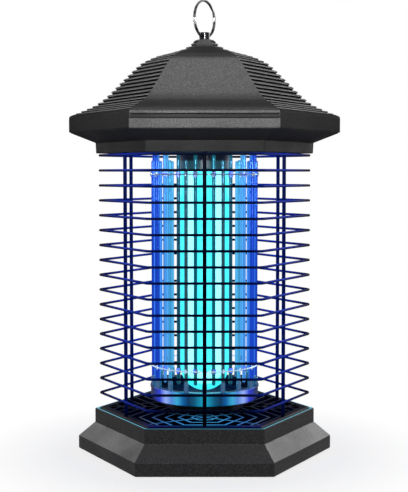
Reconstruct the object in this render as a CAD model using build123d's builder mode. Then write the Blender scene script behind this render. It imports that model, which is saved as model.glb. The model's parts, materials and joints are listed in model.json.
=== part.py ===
from build123d import *
import math
import os

# Electric bug zapper, hexagonal lantern. Millimetres, +Z up, origin at the centre of the footprint on the
# ground. Every hexagon has two corners on the X axis, so two flat sides face -Y (front) and +Y (back).
# Hexagon sizes are corner radii unless they are called an apothem.

os.makedirs("parts", exist_ok=True)

SIDES = 6
APOTHEM_RATIO = math.cos(math.pi / SIDES)
SIDE_ANGLES = [30, 90, 150, 210, 270, 330]
CORNER_ANGLES = [0, 60, 120, 180, 240, 300]

# Radial clearances: pressed or cemented, plain close fit, slip fit, loose
CLOSE_FIT = 0.03
SLIP_FIT = 0.1
LOOSE_FIT = 0.3

# Base tray
SKIRT_BOTTOM_Z = 1.2
SKIRT_TOP_Z = 13.2
SLOPE_TOP_Z = 26.3
COLLAR_TOP_Z = 39.4
SKIRT_R = 118.6
COLLAR_R = 103.0
WALL = 2.9
TRAY_FLOOR_Z = 3.7
LEDGE_Z = 35.0
LEDGE_INNER_R = 96.8
COLLAR_INNER_R = 99.8
BOSS_R = 4.0
BOSS_PLACE_R = 93.0
PEG_R = 1.8
PEG_PLACE_R = 94.0
PEG_TOP_Z = 38.2
FOOT_R = 9.0
FOOT_PLACE_R = 80.0
FOOT_TOP_Z = 2.2
FOOT_CHAMFER = 0.5

# Grille plate
PLATE_R = 98.9
PLATE_TOP_Z = 40.6
PLATE_BEVEL = 1.4
LATTICE_EDGE_R = 91.0
LATTICE_CENTRE_Y = 47.0
LATTICE_PITCH = 11.7
LATTICE_RINGS = 10
LATTICE_RIB = 1.8
LATTICE_DISC_R = 34.0
BAR_GAP = 0.03

# Cage
RING_COUNT = 17
RING_FIRST_Z = 54.1
RING_PITCH = 13.87
RING_R = 97.9
RING_CORNER = 5.0
RING_WIRE_R = 1.15
ROD_R = 1.7
ROD_APOTHEM = 81.9
ROD_BOTTOM_Z = 35.3
ROD_TOP_Z = 286.0
NUT_R = 2.9
NUT_HEIGHT = 2.3

# Zapping grid
WIRES_PER_SET = 18
WIRE_R = 1.6
OUTER_SET_R = 48.2
INNER_SET_R = 46.8
OUTER_WIRE_TOP_Z = 271.4
INNER_WIRE_BOTTOM_Z = 69.2
HOOP_R = 0.6
WELD_DEPTH = 0.2
HOOP_HEIGHTS = [82.0, 258.5]
BEAD_R = 2.1
BEAD_HEIGHT = 4.4
FEED_TOP_Z = 290.0
FEED_CLEARANCE = 2.2

# Lower grid holder
DISH_R = 50.8
DISH_BOTTOM_Z = 50.7
DISH_TOP_Z = 62.8
DISH_RIM_INNER_R = 44.5
DISH_FLOOR = 2.8
PEDESTAL_R = 30.0
PEDESTAL_INNER_R = 20.0
HOLDER_SCREW_PLACE_R = 25.0
HOLDER_SCREW_R = 1.5
FERRULE_R = 2.1
FERRULE_SUNK = 1.5
FERRULE_TOP_Z = 71.9

# Lamp
TUBE_R = 10.4
TUBE_WALL = 1.2
TUBE_X = 12.2
TUBE_BOTTOM_Z = 56.5
CAP_BOTTOM_Z = 262.5
CAP_TOP_Z = 271.0
SOCKET_R = 23.6
SOCKET_TOP_Z = 300.0
SOCKET_FLANGE_R = 30.0
TUBE_SOCKET_DEPTH = 5.0
PIN_R = 1.15
PIN_PLACE = 6.0

# Neck and underside of the head
NECK_BOTTOM_Z = 277.8
NECK_TOP_Z = 287.5
NECK_R = 101.2
NECK_FLOOR = 3.0
FASCIA_BOTTOM_Z = 297.0
HEAD_WALL = 2.6
LIP_R = 121.6
LIP_TOP_Z = 301.5
HOLDER_R = 57.0
HOLDER_FLANGE_R = 63.0
HOLDER_TOP_Z = 284.8
HEAD_SCREW_ANGLES = [0, 60, 120, 180]
HEAD_SCREW_PLACE_R = 109.0
HEAD_BOSS_R = 4.6
HEAD_BOSS_TOP_Z = 300.0
HEAD_SCREW_SEAT_Z = 293.5
HEAD_SCREW_TOP_Z = 310.0

# Roof: corner radius and height of the ogee, from the apex down to the fascia
ROOF_R = 125.5
ROOF_OGEE = [
    (8.0, 382.0),
    (18.5, 374.8),
    (30.0, 371.0),
    (44.5, 367.3),
    (53.5, 363.6),
    (61.0, 359.2),
    (75.5, 345.4),
    (91.0, 330.2),
    (100.5, 323.2),
    (108.5, 319.3),
    (118.5, 315.4),
    (125.5, 308.6),
]
ROOF_APEX_Z = ROOF_OGEE[0][1]
ROOF_WALL = 3.0
RIB_COUNT = 17
RIB_STEP = 0.9
RIB_FIRST = 0.31
RIB_LAST = 0.975
ROOF_HALF_WIDTH = 150.0
APEX_BOSS_R = 12.0
APEX_BOSS_BOTTOM_Z = 367.0

# Hanger
POST_R = 4.9
POST_TOP_Z = 388.8
POST_FILLET = 0.9
STEM_R = 3.0
STEM_BOTTOM_Z = 355.0
WASHER_THICKNESS = 1.6
HANGER_NUT_R = 5.8
HANGER_NUT_HEIGHT = 5.0
POST_HOLE_Z = 384.6
POST_HOLE_R = 2.5
RING_AZIMUTH = 57.0
EYE_R = 17.6
EYE_WIRE = 1.8
EYE_WIDTH = 2.8
EYE_ROUNDING = 0.4
EYE_AXIS_Z = 384.2

# Electrical parts in the head
BOARD_SIZE = 88.0
BOARD_THICKNESS = 1.6
BOARD_Z = 304.0
BOARD_POST_R = 3.0
TRANSFORMER_PLACE = (-18, 16)
TRANSFORMER_SIZE = (34, 28, 24)
MULTIPLIER_PLACE = (20, 18)
MULTIPLIER_SIZE = (24, 36, 15)
CAPACITOR_PLACES = [(-26, -22), (-6, -22), (14, -22)]
CAPACITOR_R = 7.0
CAPACITOR_HEIGHT = 20.0
PART_CHAMFER = 1.0
BOARD_POST_PLACE = 38.0
BUS_INNER_R = 45.0
BUS_OUTER_R = 49.0
BUS_THICKNESS = 1.0
LEAD_R = 0.9
LEAD_RISE = 6.0
LEAD_BEND = 2.0

# Cord gland at the back of the neck
GLAND_X = 24.0
GLAND_Z = 282.9
GLAND_BORE_R = 3.0
GLAND_R = 4.0
GLAND_FLANGE_WIDTH = 16.0
GLAND_FLANGE_HEIGHT = 8.8
GLAND_INNER_Y = 78.0
GLAND_OUTER_Y = 95.0


# --- Base body ------------------------------------------------------------------------------------------

with BuildPart() as base_tray:
    with BuildSketch(Plane.XY.offset(SKIRT_BOTTOM_Z)):
        RegularPolygon(SKIRT_R, SIDES)
    extrude(amount=SKIRT_TOP_Z - SKIRT_BOTTOM_Z)
    with BuildSketch(Plane.XY.offset(SKIRT_TOP_Z)):
        RegularPolygon(SKIRT_R, SIDES)
    with BuildSketch(Plane.XY.offset(SLOPE_TOP_Z)):
        RegularPolygon(COLLAR_R, SIDES)
    loft()
    with BuildSketch(Plane.XY.offset(SLOPE_TOP_Z)):
        RegularPolygon(COLLAR_R, SIDES)
    extrude(amount=COLLAR_TOP_Z - SLOPE_TOP_Z)
    # Moulding relief between the tray's own wall and the skirt, open downwards
    with BuildSketch(Plane.XY.offset(SKIRT_BOTTOM_Z)):
        RegularPolygon(SKIRT_R - WALL, SIDES)
        RegularPolygon(LEDGE_INNER_R + WALL, SIDES, mode=Mode.SUBTRACT)
    extrude(amount=SKIRT_TOP_Z - SKIRT_BOTTOM_Z - 1, mode=Mode.SUBTRACT)
    # Tray and the ledge that the grille plate rests on
    with BuildSketch(Plane.XY.offset(TRAY_FLOOR_Z)):
        RegularPolygon(LEDGE_INNER_R, SIDES)
    extrude(amount=COLLAR_TOP_Z - TRAY_FLOOR_Z, mode=Mode.SUBTRACT)
    with BuildSketch(Plane.XY.offset(LEDGE_Z)):
        RegularPolygon(COLLAR_INNER_R, SIDES)
    extrude(amount=COLLAR_TOP_Z - LEDGE_Z, mode=Mode.SUBTRACT)
    # Corner bosses with the pegs that locate the lantern
    with BuildSketch(Plane.XY.offset(TRAY_FLOOR_Z)):
        with PolarLocations(BOSS_PLACE_R, SIDES):
            Circle(BOSS_R)
    extrude(amount=LEDGE_Z - TRAY_FLOOR_Z)
    with BuildSketch(Plane.XY.offset(LEDGE_Z)):
        with PolarLocations(PEG_PLACE_R, SIDES):
            Circle(PEG_R)
    extrude(amount=PEG_TOP_Z - LEDGE_Z)
    # Seats of the feet
    with BuildSketch(Plane.XY.offset(SKIRT_BOTTOM_Z)):
        with PolarLocations(FOOT_PLACE_R, SIDES):
            Circle(FOOT_R + 2 * SLIP_FIT)
    extrude(amount=FOOT_TOP_Z - SKIRT_BOTTOM_Z, mode=Mode.SUBTRACT)
base_tray.part.label = "base_tray"
export_step(base_tray.part, "parts/base_tray.step")

with BuildPart() as rubber_feet:
    with BuildSketch(Plane.XY):
        with PolarLocations(FOOT_PLACE_R, SIDES):
            Circle(FOOT_R)
    extrude(amount=FOOT_TOP_Z)
    chamfer(rubber_feet.faces().sort_by(Axis.Z)[0:SIDES].edges(), length=FOOT_CHAMFER)
rubber_feet.part.label = "rubber_feet"
export_step(rubber_feet.part, "parts/rubber_feet.step")


# --- Grille plate and cage ------------------------------------------------------------------------------

with BuildPart() as grille_plate:
    with BuildSketch(Plane.XY.offset(LEDGE_Z)):
        RegularPolygon(PLATE_R, SIDES)
    extrude(amount=PLATE_TOP_Z - LEDGE_Z)
    chamfer(grille_plate.faces().sort_by(Axis.Z)[-1].edges(), length=PLATE_BEVEL)
    # What stays is the border, two crossed ribs and the disc that carries the grid
    with BuildSketch(Plane.XY.offset(LEDGE_Z)):
        RegularPolygon(LATTICE_EDGE_R, SIDES)
        Rectangle(2 * LATTICE_EDGE_R, LATTICE_RIB, mode=Mode.SUBTRACT)
        Rectangle(LATTICE_RIB, 2 * LATTICE_EDGE_R, mode=Mode.SUBTRACT)
        Circle(LATTICE_DISC_R, mode=Mode.SUBTRACT)
    extrude(amount=PLATE_TOP_Z - LEDGE_Z, mode=Mode.SUBTRACT)
    # Rod holes, nut pockets and peg sockets
    with BuildSketch(Plane.XY.offset(LEDGE_Z)):
        with PolarLocations(ROD_APOTHEM, SIDES, start_angle=30):
            Circle(ROD_R + SLIP_FIT)
        with PolarLocations(HOLDER_SCREW_PLACE_R, 3, start_angle=30):
            Circle(HOLDER_SCREW_R + SLIP_FIT)
    extrude(amount=PLATE_TOP_Z - LEDGE_Z, mode=Mode.SUBTRACT)
    with BuildSketch(Plane.XY.offset(LEDGE_Z)):
        with PolarLocations(ROD_APOTHEM, SIDES, start_angle=30):
            RegularPolygon(NUT_R + SLIP_FIT, SIDES, rotation=30)
    extrude(amount=NUT_HEIGHT + LOOSE_FIT, mode=Mode.SUBTRACT)
    with BuildSketch(Plane.XY.offset(LEDGE_Z)):
        with PolarLocations(PEG_PLACE_R, SIDES):
            Circle(PEG_R + LOOSE_FIT)
    extrude(amount=PEG_TOP_Z - LEDGE_Z + LOOSE_FIT, mode=Mode.SUBTRACT)
grille_plate.part.label = "grille_plate"
export_step(grille_plate.part, "parts/grille_plate.step")


def bar_outline(angle, near, far, half_length):
    """Polygon of a bar square to this direction, from the centre of the front half of the lattice."""
    turn = math.radians(angle)
    out = Vector(math.cos(turn), math.sin(turn))
    along = Vector(-math.sin(turn), math.cos(turn))
    centre = Vector(0, -LATTICE_CENTRE_Y)
    spread = half_length * far / near if half_length > LATTICE_RIB else half_length
    corners = [
        centre + out * near - along * half_length,
        centre + out * far - along * spread,
        centre + out * far + along * spread,
        centre + out * near + along * half_length,
    ]
    return Polygon(*corners, align=None, mode=Mode.PRIVATE)


# Straight bars, each a solid of its own: the sides of the nested hexagons and the spokes between them
RING_STEP = LATTICE_PITCH * APOTHEM_RATIO
bar_outlines = []
for number in range(LATTICE_RINGS):
    ring_near = (number + 1) * RING_STEP - LATTICE_RIB / 2
    spoke_near = number * RING_STEP + LATTICE_RIB / 2 + BAR_GAP if number else LATTICE_RIB
    for angle in SIDE_ANGLES:
        ring_half = ring_near * math.tan(math.pi / SIDES) - BAR_GAP
        bar_outlines.append(bar_outline(angle, ring_near, ring_near + LATTICE_RIB, ring_half))
        bar_outlines.append(bar_outline(angle, spoke_near, ring_near - BAR_GAP, LATTICE_RIB / 2))

with BuildPart() as grille_bars:
    with BuildSketch(Plane.XY.offset(LEDGE_Z)):
        add(bar_outlines)
        with Locations((0, -LATTICE_EDGE_R)):
            Rectangle(4 * LATTICE_EDGE_R, 2 * LATTICE_EDGE_R - LATTICE_RIB - 2 * BAR_GAP, mode=Mode.INTERSECT)
        RegularPolygon(LATTICE_EDGE_R - BAR_GAP, SIDES, mode=Mode.INTERSECT)
        Rectangle(LATTICE_RIB + 2 * BAR_GAP, 2 * LATTICE_EDGE_R, mode=Mode.SUBTRACT)
        Circle(LATTICE_DISC_R + BAR_GAP, mode=Mode.SUBTRACT)
    extrude(amount=PLATE_TOP_Z - LEDGE_Z)
    mirror(about=Plane.XZ)
grille_bars.part.label = "grille_bars"
export_step(grille_bars.part, "parts/grille_bars.step")

ROD_SPOTS = [
    (ROD_APOTHEM * math.cos(math.radians(angle)), ROD_APOTHEM * math.sin(math.radians(angle)))
    for angle in SIDE_ANGLES
]
for number, spot in enumerate(ROD_SPOTS, start=1):
    with BuildPart() as cage_rod:
        with BuildSketch(Plane.XY.offset(ROD_BOTTOM_Z)):
            with Locations(spot):
                Circle(ROD_R)
        extrude(amount=ROD_TOP_Z - ROD_BOTTOM_Z)
    cage_rod.part.label = f"cage_rod_{number}"
    export_step(cage_rod.part, f"parts/cage_rod_{number}.step")

with BuildPart() as rod_nuts_lower:
    with BuildSketch(Plane.XY.offset(LEDGE_Z + LOOSE_FIT)):
        with PolarLocations(ROD_APOTHEM, SIDES, start_angle=30):
            RegularPolygon(NUT_R, SIDES, rotation=30)
            Circle(ROD_R + CLOSE_FIT, mode=Mode.SUBTRACT)
    extrude(amount=NUT_HEIGHT)
rod_nuts_lower.part.label = "rod_nuts_lower"
export_step(rod_nuts_lower.part, "parts/rod_nuts_lower.step")

with BuildPart() as rod_nuts_upper:
    with BuildSketch(Plane.XY.offset(NECK_BOTTOM_Z + NECK_FLOOR)):
        with PolarLocations(ROD_APOTHEM, SIDES, start_angle=30):
            RegularPolygon(NUT_R, SIDES, rotation=30)
            Circle(ROD_R + CLOSE_FIT, mode=Mode.SUBTRACT)
    extrude(amount=NUT_HEIGHT)
rod_nuts_upper.part.label = "rod_nuts_upper"
export_step(rod_nuts_upper.part, "parts/rod_nuts_upper.step")

for number in range(1, RING_COUNT + 1):
    ring_z = RING_FIRST_Z + (number - 1) * RING_PITCH
    ring_corners = [
        (RING_R * math.cos(math.radians(angle)), RING_R * math.sin(math.radians(angle)), ring_z)
        for angle in CORNER_ANGLES
    ]
    with BuildPart() as cage_ring:
        with BuildLine() as ring_path:
            FilletPolyline(*ring_corners, radius=RING_CORNER, close=True)
        path_wire = ring_path.wire()
        with BuildSketch(Plane(origin=path_wire @ 0, z_dir=path_wire % 0)):
            Circle(RING_WIRE_R)
        sweep(path=path_wire)
    cage_ring.part.label = f"cage_ring_{number:02d}"
    export_step(cage_ring.part, f"parts/cage_ring_{number:02d}.step")


# --- Lower grid holder ----------------------------------------------------------------------------------

with BuildPart() as holder_pedestal:
    with BuildSketch(Plane.XY.offset(PLATE_TOP_Z)):
        Circle(PEDESTAL_R)
        Circle(PEDESTAL_INNER_R, mode=Mode.SUBTRACT)
        with PolarLocations(HOLDER_SCREW_PLACE_R, 3, start_angle=30):
            Circle(HOLDER_SCREW_R + SLIP_FIT, mode=Mode.SUBTRACT)
    extrude(amount=DISH_BOTTOM_Z - PLATE_TOP_Z)
holder_pedestal.part.label = "holder_pedestal"
export_step(holder_pedestal.part, "parts/holder_pedestal.step")

with BuildPart() as lower_grid_holder:
    with BuildSketch(Plane.XY.offset(DISH_BOTTOM_Z)):
        Circle(DISH_R)
    extrude(amount=DISH_TOP_Z - DISH_BOTTOM_Z)
    with BuildSketch(Plane.XY.offset(DISH_BOTTOM_Z + DISH_FLOOR)):
        Circle(DISH_RIM_INNER_R)
    extrude(amount=DISH_TOP_Z - DISH_BOTTOM_Z - DISH_FLOOR, mode=Mode.SUBTRACT)
    with BuildSketch(Plane.XY.offset(DISH_TOP_Z)):
        with PolarLocations(OUTER_SET_R, WIRES_PER_SET, start_angle=-90):
            Circle(FERRULE_R)
    extrude(amount=-FERRULE_SUNK, mode=Mode.SUBTRACT)
    with BuildSketch(Plane.XY.offset(DISH_BOTTOM_Z)):
        with PolarLocations(HOLDER_SCREW_PLACE_R, 3, start_angle=30):
            Circle(HOLDER_SCREW_R + CLOSE_FIT)
    extrude(amount=DISH_FLOOR, mode=Mode.SUBTRACT)
lower_grid_holder.part.label = "lower_grid_holder"
export_step(lower_grid_holder.part, "parts/lower_grid_holder.step")

with BuildPart() as holder_screws:
    with BuildSketch(Plane.XY.offset(LEDGE_Z)):
        with PolarLocations(HOLDER_SCREW_PLACE_R, 3, start_angle=30):
            Circle(HOLDER_SCREW_R)
    extrude(amount=DISH_BOTTOM_Z + DISH_FLOOR - LEDGE_Z)
    with BuildSketch(Plane.XY.offset(LEDGE_Z)):
        with PolarLocations(HOLDER_SCREW_PLACE_R, 3, start_angle=30):
            Circle(2 * HOLDER_SCREW_R)
    extrude(amount=-HOLDER_SCREW_R)
holder_screws.part.label = "holder_screws"
export_step(holder_screws.part, "parts/holder_screws.step")


# --- Zapping grid ---------------------------------------------------------------------------------------

with BuildPart() as ferrules:
    with BuildSketch(Plane.XY.offset(DISH_TOP_Z - FERRULE_SUNK)):
        with PolarLocations(OUTER_SET_R, WIRES_PER_SET, start_angle=-90):
            Circle(FERRULE_R)
    extrude(amount=FERRULE_TOP_Z - DISH_TOP_Z + FERRULE_SUNK)
    with BuildSketch(Plane.XY.offset(DISH_TOP_Z)):
        with PolarLocations(OUTER_SET_R, WIRES_PER_SET, start_angle=-90):
            Circle(WIRE_R + CLOSE_FIT)
    extrude(amount=FERRULE_TOP_Z - DISH_TOP_Z, mode=Mode.SUBTRACT)
ferrules.part.label = "ferrules"
export_step(ferrules.part, "parts/ferrules.step")

# The rear wire of the outer set runs on up into the head as its feed
with BuildPart() as outer_wires:
    with BuildSketch(Plane.XY.offset(DISH_TOP_Z)):
        with PolarLocations(OUTER_SET_R, WIRES_PER_SET, start_angle=-90):
            Circle(WIRE_R)
    extrude(amount=OUTER_WIRE_TOP_Z - DISH_TOP_Z)
    with BuildSketch(Plane.XY.offset(OUTER_WIRE_TOP_Z)):
        with Locations((0, OUTER_SET_R)):
            Circle(WIRE_R)
    extrude(amount=FEED_TOP_Z - OUTER_WIRE_TOP_Z)
outer_wires.part.label = "outer_wires"
export_step(outer_wires.part, "parts/outer_wires.step")

with BuildPart() as inner_wires:
    with BuildSketch(Plane.XY.offset(INNER_WIRE_BOTTOM_Z)):
        with PolarLocations(INNER_SET_R, WIRES_PER_SET, start_angle=-80):
            Circle(WIRE_R)
    extrude(amount=HOLDER_TOP_Z - INNER_WIRE_BOTTOM_Z)
inner_wires.part.label = "inner_wires"
export_step(inner_wires.part, "parts/inner_wires.step")

with BuildPart() as grid_hoops:
    with BuildSketch(Plane.XZ):
        with Locations(*[(OUTER_SET_R + WIRE_R + HOOP_R - WELD_DEPTH, height) for height in HOOP_HEIGHTS]):
            Circle(HOOP_R)
    revolve(axis=Axis.Z)
grid_hoops.part.label = "grid_hoops"
export_step(grid_hoops.part, "parts/grid_hoops.step")

# Ceramic beads that keep the inner wires off the hoops
with BuildPart() as grid_beads:
    for height in HOOP_HEIGHTS:
        with BuildSketch(Plane.XY.offset(height - BEAD_HEIGHT / 2)):
            with PolarLocations(INNER_SET_R, WIRES_PER_SET, start_angle=-80):
                Circle(BEAD_R)
                Circle(WIRE_R + CLOSE_FIT, mode=Mode.SUBTRACT)
        extrude(amount=BEAD_HEIGHT)
grid_beads.part.label = "grid_beads"
export_step(grid_beads.part, "parts/grid_beads.step")

with BuildPart() as upper_grid_holder:
    with BuildSketch(Plane.XY.offset(NECK_BOTTOM_Z)):
        Circle(HOLDER_R)
    extrude(amount=NECK_FLOOR)
    with BuildSketch(Plane.XY.offset(NECK_BOTTOM_Z + NECK_FLOOR)):
        Circle(HOLDER_FLANGE_R)
    extrude(amount=HOLDER_TOP_Z - NECK_BOTTOM_Z - NECK_FLOOR)
    with BuildSketch(Plane.XY.offset(NECK_BOTTOM_Z)):
        Circle(SOCKET_R + LOOSE_FIT)
        with PolarLocations(INNER_SET_R, WIRES_PER_SET, start_angle=-80):
            Circle(WIRE_R + CLOSE_FIT)
        with Locations((0, OUTER_SET_R)):
            Circle(WIRE_R + CLOSE_FIT)
    extrude(amount=HOLDER_TOP_Z - NECK_BOTTOM_Z, mode=Mode.SUBTRACT)
upper_grid_holder.part.label = "upper_grid_holder"
export_step(upper_grid_holder.part, "parts/upper_grid_holder.step")

with BuildPart() as bus_ring:
    with BuildSketch(Plane.XY.offset(HOLDER_TOP_Z)):
        Circle(BUS_OUTER_R)
        Circle(BUS_INNER_R, mode=Mode.SUBTRACT)
        with Locations((0, OUTER_SET_R)):
            Circle(WIRE_R + FEED_CLEARANCE, mode=Mode.SUBTRACT)
    extrude(amount=BUS_THICKNESS)
bus_ring.part.label = "bus_ring"
export_step(bus_ring.part, "parts/bus_ring.step")


# --- Lamp -----------------------------------------------------------------------------------------------

BEND_Z = TUBE_BOTTOM_Z + TUBE_R + TUBE_X
TUBE_TOP_Z = CAP_BOTTOM_Z + TUBE_SOCKET_DEPTH
with BuildPart() as lamp_tube:
    with BuildSketch(Plane.XY.offset(BEND_Z)):
        with Locations((-TUBE_X, 0), (TUBE_X, 0)):
            Circle(TUBE_R)
            Circle(TUBE_R - TUBE_WALL, mode=Mode.SUBTRACT)
    extrude(amount=TUBE_TOP_Z - BEND_Z)
    with BuildSketch(Plane.XY.offset(BEND_Z)):
        with Locations((TUBE_X, 0)):
            Circle(TUBE_R)
            Circle(TUBE_R - TUBE_WALL, mode=Mode.SUBTRACT)
    revolve(axis=Axis((0, 0, BEND_Z), (0, 1, 0)), revolution_arc=180)
lamp_tube.part.label = "lamp_tube"
export_step(lamp_tube.part, "parts/lamp_tube.step")

with BuildPart() as lamp_cap:
    with BuildSketch(Plane.XY.offset(CAP_BOTTOM_Z)):
        Circle(SOCKET_R)
    extrude(amount=CAP_TOP_Z - CAP_BOTTOM_Z)
    chamfer(lamp_cap.faces().sort_by(Axis.Z)[0].edges(), length=1)
    with BuildSketch(Plane.XY.offset(CAP_BOTTOM_Z)):
        with Locations((-TUBE_X, 0), (TUBE_X, 0)):
            Circle(TUBE_R + SLIP_FIT)
    extrude(amount=TUBE_SOCKET_DEPTH, mode=Mode.SUBTRACT)
    with BuildSketch(Plane.XY.offset(CAP_TOP_Z)):
        with GridLocations(2 * PIN_PLACE, 2 * PIN_PLACE, 2, 2):
            Circle(PIN_R + CLOSE_FIT)
    extrude(amount=-2 * PIN_R, mode=Mode.SUBTRACT)
lamp_cap.part.label = "lamp_cap"
export_step(lamp_cap.part, "parts/lamp_cap.step")

with BuildPart() as lamp_pins:
    with BuildSketch(Plane.XY.offset(CAP_TOP_Z - 2 * PIN_R)):
        with GridLocations(2 * PIN_PLACE, 2 * PIN_PLACE, 2, 2):
            Circle(PIN_R)
    extrude(amount=4 * PIN_R + 2)
lamp_pins.part.label = "lamp_pins"
export_step(lamp_pins.part, "parts/lamp_pins.step")

with BuildPart() as lamp_socket:
    with BuildSketch(Plane.XY.offset(CAP_TOP_Z)):
        Circle(SOCKET_R)
    extrude(amount=SOCKET_TOP_Z - CAP_TOP_Z)
    with BuildSketch(Plane.XY.offset(HOLDER_TOP_Z)):
        Circle(SOCKET_FLANGE_R)
    extrude(amount=NECK_FLOOR)
    with BuildSketch(Plane.XY.offset(CAP_TOP_Z)):
        with GridLocations(2 * PIN_PLACE, 2 * PIN_PLACE, 2, 2):
            Circle(PIN_R + SLIP_FIT)
    extrude(amount=2 * PIN_R + 4, mode=Mode.SUBTRACT)
lamp_socket.part.label = "lamp_socket"
export_step(lamp_socket.part, "parts/lamp_socket.step")


# --- Neck and underside of the head ---------------------------------------------------------------------

NECK_FLOOR_TOP_Z = NECK_BOTTOM_Z + NECK_FLOOR

with BuildPart() as neck_housing:
    with BuildSketch(Plane.XY.offset(NECK_BOTTOM_Z)):
        RegularPolygon(NECK_R, SIDES)
    extrude(amount=NECK_TOP_Z - NECK_BOTTOM_Z)
    with BuildSketch(Plane.XY.offset(NECK_TOP_Z)):
        RegularPolygon(NECK_R, SIDES)
    with BuildSketch(Plane.XY.offset(FASCIA_BOTTOM_Z)):
        RegularPolygon(ROOF_R, SIDES)
    loft()
    with BuildSketch(Plane.XY.offset(FASCIA_BOTTOM_Z)):
        RegularPolygon(LIP_R, SIDES)
    extrude(amount=LIP_TOP_Z - FASCIA_BOTTOM_Z)
    # Hollow of the neck, of the sloping underside and of the lip
    with BuildSketch(Plane.XY.offset(NECK_FLOOR_TOP_Z)):
        RegularPolygon(NECK_R - HEAD_WALL, SIDES)
    extrude(amount=NECK_TOP_Z + 1 - NECK_FLOOR_TOP_Z, mode=Mode.SUBTRACT)
    with BuildSketch(Plane.XY.offset(NECK_TOP_Z + 1)):
        RegularPolygon(NECK_R - HEAD_WALL, SIDES)
    with BuildSketch(Plane.XY.offset(FASCIA_BOTTOM_Z)):
        RegularPolygon(LIP_R - HEAD_WALL, SIDES)
    loft(mode=Mode.SUBTRACT)
    with BuildSketch(Plane.XY.offset(FASCIA_BOTTOM_Z)):
        RegularPolygon(LIP_R - HEAD_WALL, SIDES)
    extrude(amount=LIP_TOP_Z - FASCIA_BOTTOM_Z, mode=Mode.SUBTRACT)
    # Screw bosses with their counterbores
    with BuildSketch(Plane.XY.offset(HEAD_SCREW_SEAT_Z)):
        for angle in HEAD_SCREW_ANGLES:
            with PolarLocations(HEAD_SCREW_PLACE_R, 1, start_angle=angle):
                Circle(HEAD_BOSS_R)
    extrude(amount=HEAD_BOSS_TOP_Z - HEAD_SCREW_SEAT_Z)
    with BuildSketch(Plane.XY.offset(NECK_TOP_Z)):
        for angle in HEAD_SCREW_ANGLES:
            with PolarLocations(HEAD_SCREW_PLACE_R, 1, start_angle=angle):
                Circle(2 * HOLDER_SCREW_R + 2 * SLIP_FIT)
    extrude(amount=HEAD_SCREW_SEAT_Z - NECK_TOP_Z, mode=Mode.SUBTRACT)
    # Openings for the screws, the grid holder, the rods and the cord gland
    with BuildSketch(Plane.XY.offset(NECK_BOTTOM_Z)):
        Circle(HOLDER_R + LOOSE_FIT)
        with PolarLocations(ROD_APOTHEM, SIDES, start_angle=30):
            Circle(ROD_R + SLIP_FIT)
        for angle in HEAD_SCREW_ANGLES:
            with PolarLocations(HEAD_SCREW_PLACE_R, 1, start_angle=angle):
                Circle(HOLDER_SCREW_R + SLIP_FIT)
    extrude(amount=HEAD_BOSS_TOP_Z - NECK_BOTTOM_Z, mode=Mode.SUBTRACT)
    with BuildSketch(Plane.XZ.offset(-GLAND_INNER_Y)):
        with Locations((GLAND_X, GLAND_Z)):
            Circle(GLAND_R + CLOSE_FIT)
    extrude(amount=GLAND_INNER_Y - GLAND_OUTER_Y, mode=Mode.SUBTRACT)
neck_housing.part.label = "neck_housing"
export_step(neck_housing.part, "parts/neck_housing.step")

with BuildPart() as cord_gland:
    with BuildSketch(Plane.XZ.offset(-GLAND_INNER_Y)):
        with Locations((GLAND_X, GLAND_Z)):
            Circle(GLAND_R)
    extrude(amount=GLAND_INNER_Y - GLAND_OUTER_Y)
    with BuildSketch(Plane.XZ.offset(-NECK_R * APOTHEM_RATIO)):
        with Locations((GLAND_X, GLAND_Z)):
            RectangleRounded(GLAND_FLANGE_WIDTH, GLAND_FLANGE_HEIGHT, GLAND_BORE_R)
    extrude(amount=-HEAD_WALL)
    with BuildSketch(Plane.XZ.offset(-GLAND_INNER_Y)):
        with Locations((GLAND_X, GLAND_Z)):
            Circle(GLAND_BORE_R)
    extrude(amount=GLAND_INNER_Y - GLAND_OUTER_Y, mode=Mode.SUBTRACT)
cord_gland.part.label = "cord_gland"
export_step(cord_gland.part, "parts/cord_gland.step")

with BuildPart() as head_screws:
    with BuildSketch(Plane.XY.offset(HEAD_SCREW_SEAT_Z)):
        for angle in HEAD_SCREW_ANGLES:
            with PolarLocations(HEAD_SCREW_PLACE_R, 1, start_angle=angle):
                Circle(HOLDER_SCREW_R)
    extrude(amount=HEAD_SCREW_TOP_Z - HEAD_SCREW_SEAT_Z)
    with BuildSketch(Plane.XY.offset(HEAD_SCREW_SEAT_Z)):
        for angle in HEAD_SCREW_ANGLES:
            with PolarLocations(HEAD_SCREW_PLACE_R, 1, start_angle=angle):
                Circle(2 * HOLDER_SCREW_R)
    extrude(amount=-HOLDER_SCREW_R)
head_screws.part.label = "head_screws"
export_step(head_screws.part, "parts/head_screws.step")


# --- Roof -----------------------------------------------------------------------------------------------


def panel_plane(angle):
    """Upright plane through the axis: x towards the side at this angle, y up."""
    turn = math.radians(angle)
    return Plane(
        origin=(0, 0, 0),
        x_dir=(math.cos(turn), math.sin(turn), 0),
        z_dir=(math.sin(turn), -math.cos(turn), 0),
    )


with BuildLine() as ogee:
    Spline(*[(radius * APOTHEM_RATIO, height) for radius, height in ROOF_OGEE])
ogee_curve = ogee.edges()[0]


def inside_ogee(fraction, depth):
    """Point of the ogee at this fraction of its run, moved into the roof by a depth."""
    tangent = ogee_curve % fraction
    point = ogee_curve @ fraction
    return (point.X + depth * tangent.Y, point.Y - depth * tangent.X)


RIB_EDGES = [RIB_FIRST + (RIB_LAST - RIB_FIRST) * number / RIB_COUNT for number in range(RIB_COUNT + 1)]
ribbed_outline = [inside_ogee(RIB_FIRST * number / 6, 0) for number in range(7)]
for upper, lower in zip(RIB_EDGES[:-1], RIB_EDGES[1:]):
    ribbed_outline.append(inside_ogee(upper, RIB_STEP))
    ribbed_outline.append(inside_ogee(lower, 0))
ribbed_outline.append((ROOF_R * APOTHEM_RATIO, ROOF_OGEE[-1][1]))

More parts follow.
